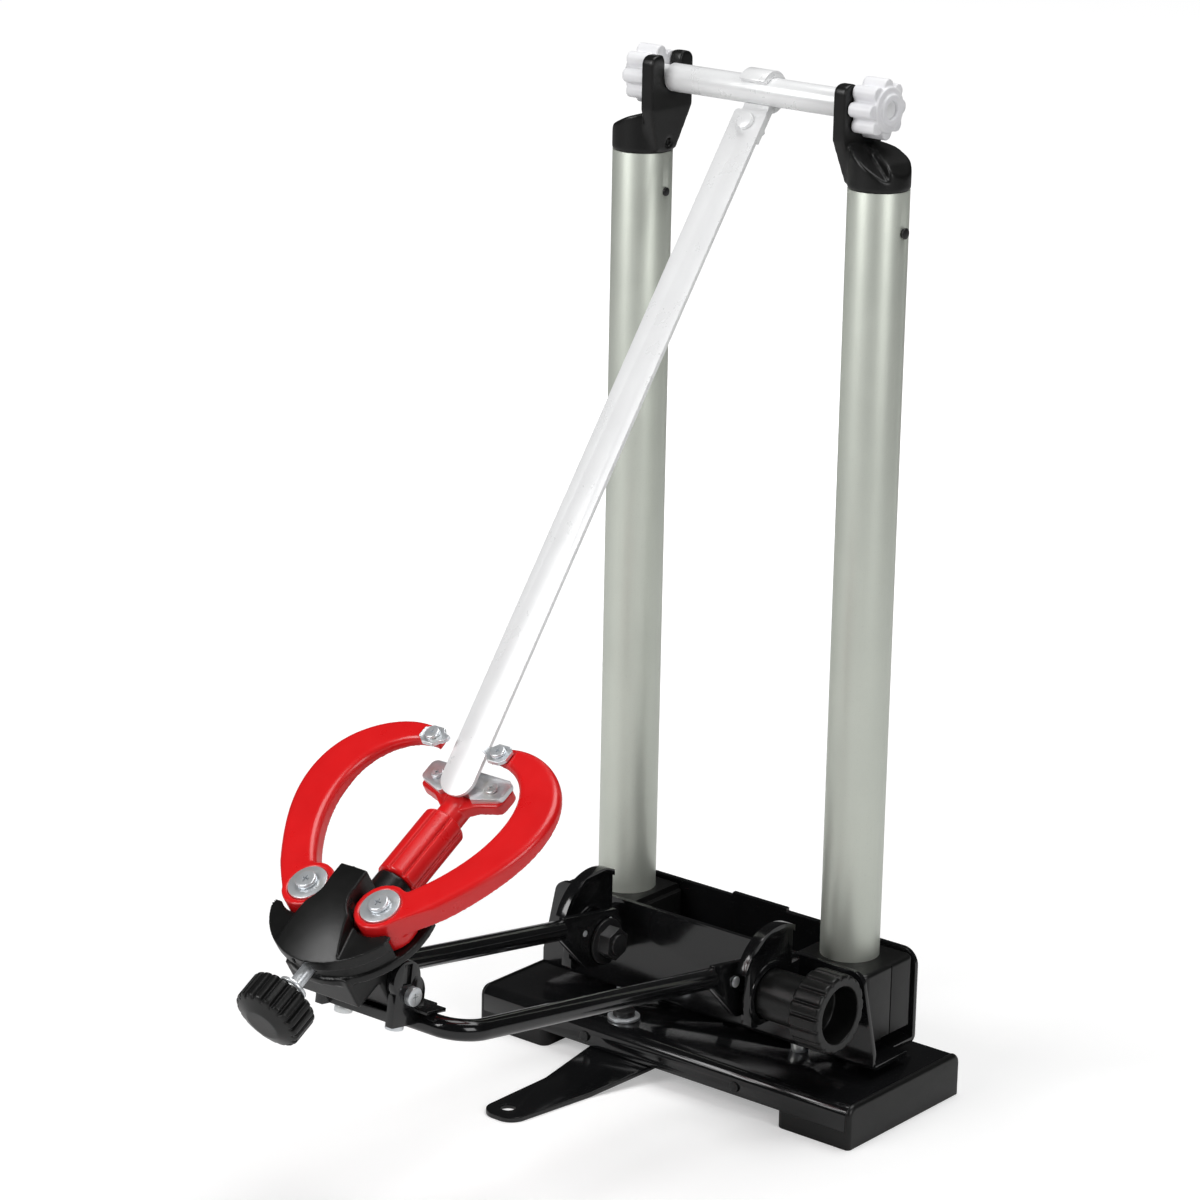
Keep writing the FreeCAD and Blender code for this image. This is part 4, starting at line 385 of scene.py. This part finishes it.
def makeFinish(name, look):
    finish = bpy.data.materials.new(name)
    finish.use_nodes = True
    tree = finish.node_tree
    shader = tree.nodes["Principled BSDF"]
    place = tree.nodes.new("ShaderNodeTexCoord").outputs["Object"]
    base, shade = opaque(look["base"]), opaque(look["shade"])
    roughness = look["roughness"]
    if "cast" in look:
        spangle = useGroup(tree, spangleGroup, {"Place": place, "Base": base,
                                                "Cast": opaque(look["cast"]),
                                                "Cell Size": look["cellSize"]})
        base = spangle["Color"]
    if "streaks" in look:
        streak = useGroup(tree, streakGroup, {"Place": place})
        lines = spread(tree, streak["Line"], 0.35, 0.65)
        base = mixColor(tree, sums(tree, "MULTIPLY", lines, look["streaks"]), base, shade)
        roughness = sums(tree, "MULTIPLY_ADD", streak["Band"], bandSwing,
                         look["roughness"] - bandSwing / 2)
    skin = useGroup(tree, skinGroup, {
        "Place": place, "Base": base, "Shade": shade, "Cloud Size": look["clouds"],
        "Fleck Color": opaque(look["fleck"]), "Fleck Size": look["fleckSize"],
        "Fleck": look["flecks"], "Roughness": roughness, "Haze": look["haze"]})
    rub = useGroup(tree, rubGroup, {"Place": place, "Width": look["rubWidth"],
                                    "Amount": look["rubbed"]})
    color = mixColor(tree, rub["Mask"], skin["Color"], opaque(look["rub"]))
    relief = useGroup(tree, reliefGroup, {
        "Place": place, "Fine Size": look["fineSize"], "Fine": look["fine"],
        "Wave Size": look["waveSize"], "Wave": look["wave"]})
    bump = addNode(tree, "Bump", {"Height": relief["Height"], "Strength": look["bump"],
                                  "Distance": reliefDepth})
    tree.links.new(color, shader.inputs["Base Color"])
    tree.links.new(skin["Roughness"], shader.inputs["Roughness"])
    tree.links.new(bump.outputs["Normal"], shader.inputs["Normal"])
    shader.inputs["Metallic"].default_value = look["metallic"]
    shader.inputs["Specular IOR Level"].default_value = look["specular"]
    shader.inputs["Coat Weight"].default_value = look["coat"]
    shader.inputs["Coat Roughness"].default_value = coatRoughness
    return finish


ready = {name: makeFinish(name, look) for name, look in finishes.items()}
print(len(ready), "finishes ready")


# pieces that start from a part's own surface
surface = {
    "weld": 2e-6,  # metres between corners that are one
    "flat": 0.3,  # degrees: faces this level are one face
    "crease": 28,  # degrees from which an edge is rolled over
    "shade": 40,  # degrees from which an edge is drawn sharp
    "melt": 0.5,  # how far one smoothing pass moves a moulded skin
}


def camel(name):
    first, *rest = name.split("_")
    return first + "".join(word.capitalize() for word in rest)


def nodeShape(name):
    shape = bmesh.new()
    shape.from_mesh(nodes[name].data)
    bmesh.ops.remove_doubles(shape, verts=shape.verts, dist=surface["weld"])
    return shape


def addPiece(name, shape, node):
    mesh = bpy.data.meshes.new(name)
    shape.to_mesh(mesh)
    shape.free()
    piece = bpy.data.objects.new(name, mesh)
    bpy.context.collection.objects.link(piece)
    mesh.materials.append(ready[slotOf[node]])
    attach(piece, bodyOf[node])
    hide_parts(node)
    return piece


def shadeByAngle(shape):
    for face in shape.faces:
        face.smooth = True
    for edge in shape.edges:
        bend = edge.calc_face_angle(0)
        edge.smooth = len(edge.link_faces) == 2 and bend < math.radians(surface["shade"])


def softened(name, width, segments):  # the part with its sharp edges rolled over
    shape = nodeShape(name)
    bmesh.ops.dissolve_limit(shape, angle_limit=math.radians(surface["flat"]),
                             use_dissolve_boundaries=False, verts=shape.verts,
                             edges=shape.edges, delimit={"NORMAL"})
    sharp = [edge for edge in shape.edges if len(edge.link_faces) == 2
             and edge.calc_face_angle(0) > math.radians(surface["crease"])]
    bmesh.ops.bevel(shape, geom=sharp, offset=width * mm, offset_type="OFFSET", affect="EDGES",
                    segments=segments, profile=0.5, material=-1, clamp_overlap=True)
    shadeByAngle(shape)
    return addPiece(camel(name) + "Soft", shape, name)


def moulded(name, voxel, passes):  # the part as one smooth skin, edges melted
    mesh = bpy.data.meshes.new(camel(name) + "Raw")
    shape = nodeShape(name)
    shape.to_mesh(mesh)
    shape.free()
    raw = bpy.data.objects.new(camel(name) + "Raw", mesh)
    bpy.context.collection.objects.link(raw)
    remesh = raw.modifiers.new("skin", "REMESH")
    remesh.mode = "VOXEL"
    remesh.voxel_size = voxel * mm
    remesh.adaptivity = 0
    solved = bpy.context.evaluated_depsgraph_get()
    skin = bpy.data.meshes.new_from_object(raw.evaluated_get(solved))
    bpy.data.objects.remove(raw)
    shape = bmesh.new()
    shape.from_mesh(skin)
    for turn in range(passes):
        bmesh.ops.smooth_vert(shape, verts=shape.verts, factor=surface["melt"],
                              use_axis_x=True, use_axis_y=True, use_axis_z=True)
    for face in shape.faces:
        face.smooth = True
    return addPiece(camel(name) + "Moulded", shape, name)


# the caliper leans back, and its screws face square to its arms
lean = math.radians(30.84)
upWay = Vector((0, -math.sin(lean), math.cos(lean)))


cross = {"arm": 0.34, "tipLong": 0.45, "tipWide": 0.6}  # shares of its reach, and of its mouth


def crossTool(tip, axis, reach, deep):  # a tapered cross, sunk from tip against the axis
    tool = bmesh.new()
    for turn in (0, 90):
        blade = bmesh.ops.create_cube(tool, size=1)["verts"]
        bmesh.ops.scale(tool, vec=(2 * reach, reach * cross["arm"], deep * 2), verts=blade)
        low = [vert for vert in blade if vert.co.z < 0]
        bmesh.ops.scale(tool, vec=(cross["tipLong"], cross["tipWide"], 1), verts=low)
        bmesh.ops.rotate(tool, cent=(0, 0, 0), verts=blade,
                         matrix=Matrix.Rotation(math.radians(turn), 3, "Z"))
    turnTo = Vector(axis).to_track_quat("Z", "Y").to_matrix().to_4x4()
    bmesh.ops.transform(tool, matrix=Matrix.Translation(tip) @ turnTo, verts=tool.verts)
    mesh = bpy.data.meshes.new("crossTool")
    tool.to_mesh(mesh)
    tool.free()
    thing = bpy.data.objects.new("crossTool", mesh)
    bpy.context.collection.objects.link(thing)
    return thing


def recess(piece, tip, axis, reach, deep):
    tool = crossTool(tip, axis, reach, deep)
    bite = piece.modifiers.new("recess", "BOOLEAN")
    bite.operation = "DIFFERENCE"
    bite.solver = "EXACT"
    bite.use_self = True
    bite.object = tool
    solved = bpy.context.evaluated_depsgraph_get()
    piece.data = bpy.data.meshes.new_from_object(piece.evaluated_get(solved))
    piece.modifiers.clear()
    bpy.data.objects.remove(tool)


topLayer = 0.0001  # metres below a head's highest corner that still count as its top


def headTips(piece, axis):  # the top of each separate screw in a piece, along an axis
    shape = bmesh.new()
    shape.from_mesh(piece.data)
    shape.verts.index_update()
    seen = set()
    tips = []
    for start in shape.verts:  # in the mesh's own order, so each run cuts in the same order
        if start.index in seen:
            continue
        group, queue = [], [start]
        seen.add(start.index)
        while queue:
            vert = queue.pop()
            group.append(vert)
            for edge in vert.link_edges:
                other = edge.other_vert(vert)
                if other.index not in seen:
                    seen.add(other.index)
                    queue.append(other)
        top = max(vert.co.dot(axis) for vert in group)
        rim = [vert.co for vert in group if vert.co.dot(axis) > top - topLayer]
        tips.append(sum(rim, Vector()) / len(rim))
    shape.free()
    return tips


softWidths = {  # rolled edges in millimetres, for parts of folded or cast metal
    "base_channel": 0.5, "end_cap_left": 1.1, "end_cap_right": 1.1, "tray_channel": 0.45,
    "lip_rivets": 0.25, "tray_spacers": 0.2, "tray_bolts": 0.3, "tray_nuts": 0.25,
    "pivot_ear_left": 0.4, "pivot_ear_right": 0.4, "leg_bolt": 0.4, "leg_spacers": 0.2,
    "support_leg": 0.45, "pillar_block_left": 0.9, "pillar_block_right": 0.9,
    "pillar_tube_left": 0.3, "pillar_tube_right": 0.3, "cap_pin_left": 0.3, "cap_pin_right": 0.3,
    "rack_left": 0.15, "rack_right": 0.15, "pinion": 0.15, "pinion_stud": 0.2,
    "pivot_shaft": 0.4, "shaft_nuts": 0.35, "swing_rod": 0.5, "arm_plate_left": 0.5,
    "arm_plate_right": 0.5, "plate_rivets": 0.3, "bracket_bolts": 0.5, "tilt_fasteners": 0.6,
    "arm_washers": 0.3, "arm_screws": 1.5, "tip_screw_left": 1.1, "tip_screw_right": 1.1,
    "thumb_screw": 0.25, "thumb_nut": 0.3, "radial_plate": 0.4, "radial_screws": 0.85,
    "gauge_axle": 0.4, "gauge_rod": 0.4, "gauge_bar": 0.35, "gauge_clamp": 0.4,
    "gauge_fasteners": 0.3, "head_bracket": 0.8, "shuttle": 0.5,
}
edgeSteps = {"wide": 5, "narrow": 2, "wideFrom": 0.8}  # steps across a rolled edge
soft = {}
for name, width in softWidths.items():
    steps = edgeSteps["wide" if width > edgeSteps["wideFrom"] else "narrow"]
    soft[name] = softened(name, width, steps)
print(len(soft), "parts with rolled edges")

skins = {  # voxel in millimetres and smoothing passes, for moulded plastic and die castings
    "pillar_cap_left": (0.5, 16), "pillar_cap_right": (0.5, 16),
    "head_hood": (0.42, 4), "head_base": (0.55, 6),
    "caliper_arm_left": (0.55, 7), "caliper_arm_right": (0.55, 7),
    "caliper_tip_left": (0.25, 4), "caliper_tip_right": (0.25, 4),
    "star_knob_left": (0.4, 5), "star_knob_right": (0.4, 5),
    "barrel_knob": (0.4, 4), "thumb_knob": (0.35, 5),
    "radial_sleeve": (0.35, 4), "radial_body": (0.45, 5),
}
for name, (voxel, passes) in skins.items():
    soft[name] = moulded(name, voxel, passes)
print(len(skins), "moulded parts")

curl = {  # millimetres out from the stand's middle, and how far each end lifts
    "start": 13.5, "reach": 4.1, "lift": 1.3,
    "back": 22.0, "backReach": 2.5, "backLift": 0.7,
}


def curlTip(piece):  # the plate's point and its far end turn up a little
    for vert in piece.data.vertices:
        along = abs(vert.co.x) / mm
        ahead = max(0.0, (curl["start"] - along) / curl["reach"])
        behind = max(0.0, (along - curl["back"]) / curl["backReach"])
        vert.co += upWay * (ahead ** 2 * curl["lift"] + behind ** 2 * curl["backLift"]) * mm


curlTip(soft["caliper_tip_left"])
curlTip(soft["caliper_tip_right"])

screwHeads = {  # reach and depth of each cross, in millimetres, and the way its head faces
    "arm_screws": (2.6, 1.7, upWay), "tip_screw_left": (1.9, 1.2, upWay),
    "tip_screw_right": (1.9, 1.2, upWay), "radial_screws": (1.8, 1.2, upWay),
    "tilt_fasteners": (2.3, 1.6, Vector((1, 0, 0))),
}
for name, (reach, deep, axis) in screwHeads.items():
    for tip in headTips(soft[name], axis):
        recess(soft[name], tip, axis, reach * mm, deep * mm)
    shape = bmesh.new()
    shape.from_mesh(soft[name].data)
    shadeByAngle(shape)
    shape.to_mesh(soft[name].data)
    shape.free()
print("screws recessed")

for name, node in nodes.items():
    if name not in soft:
        node.data.materials.clear()
        node.data.materials.append(ready[slotOf[name]])
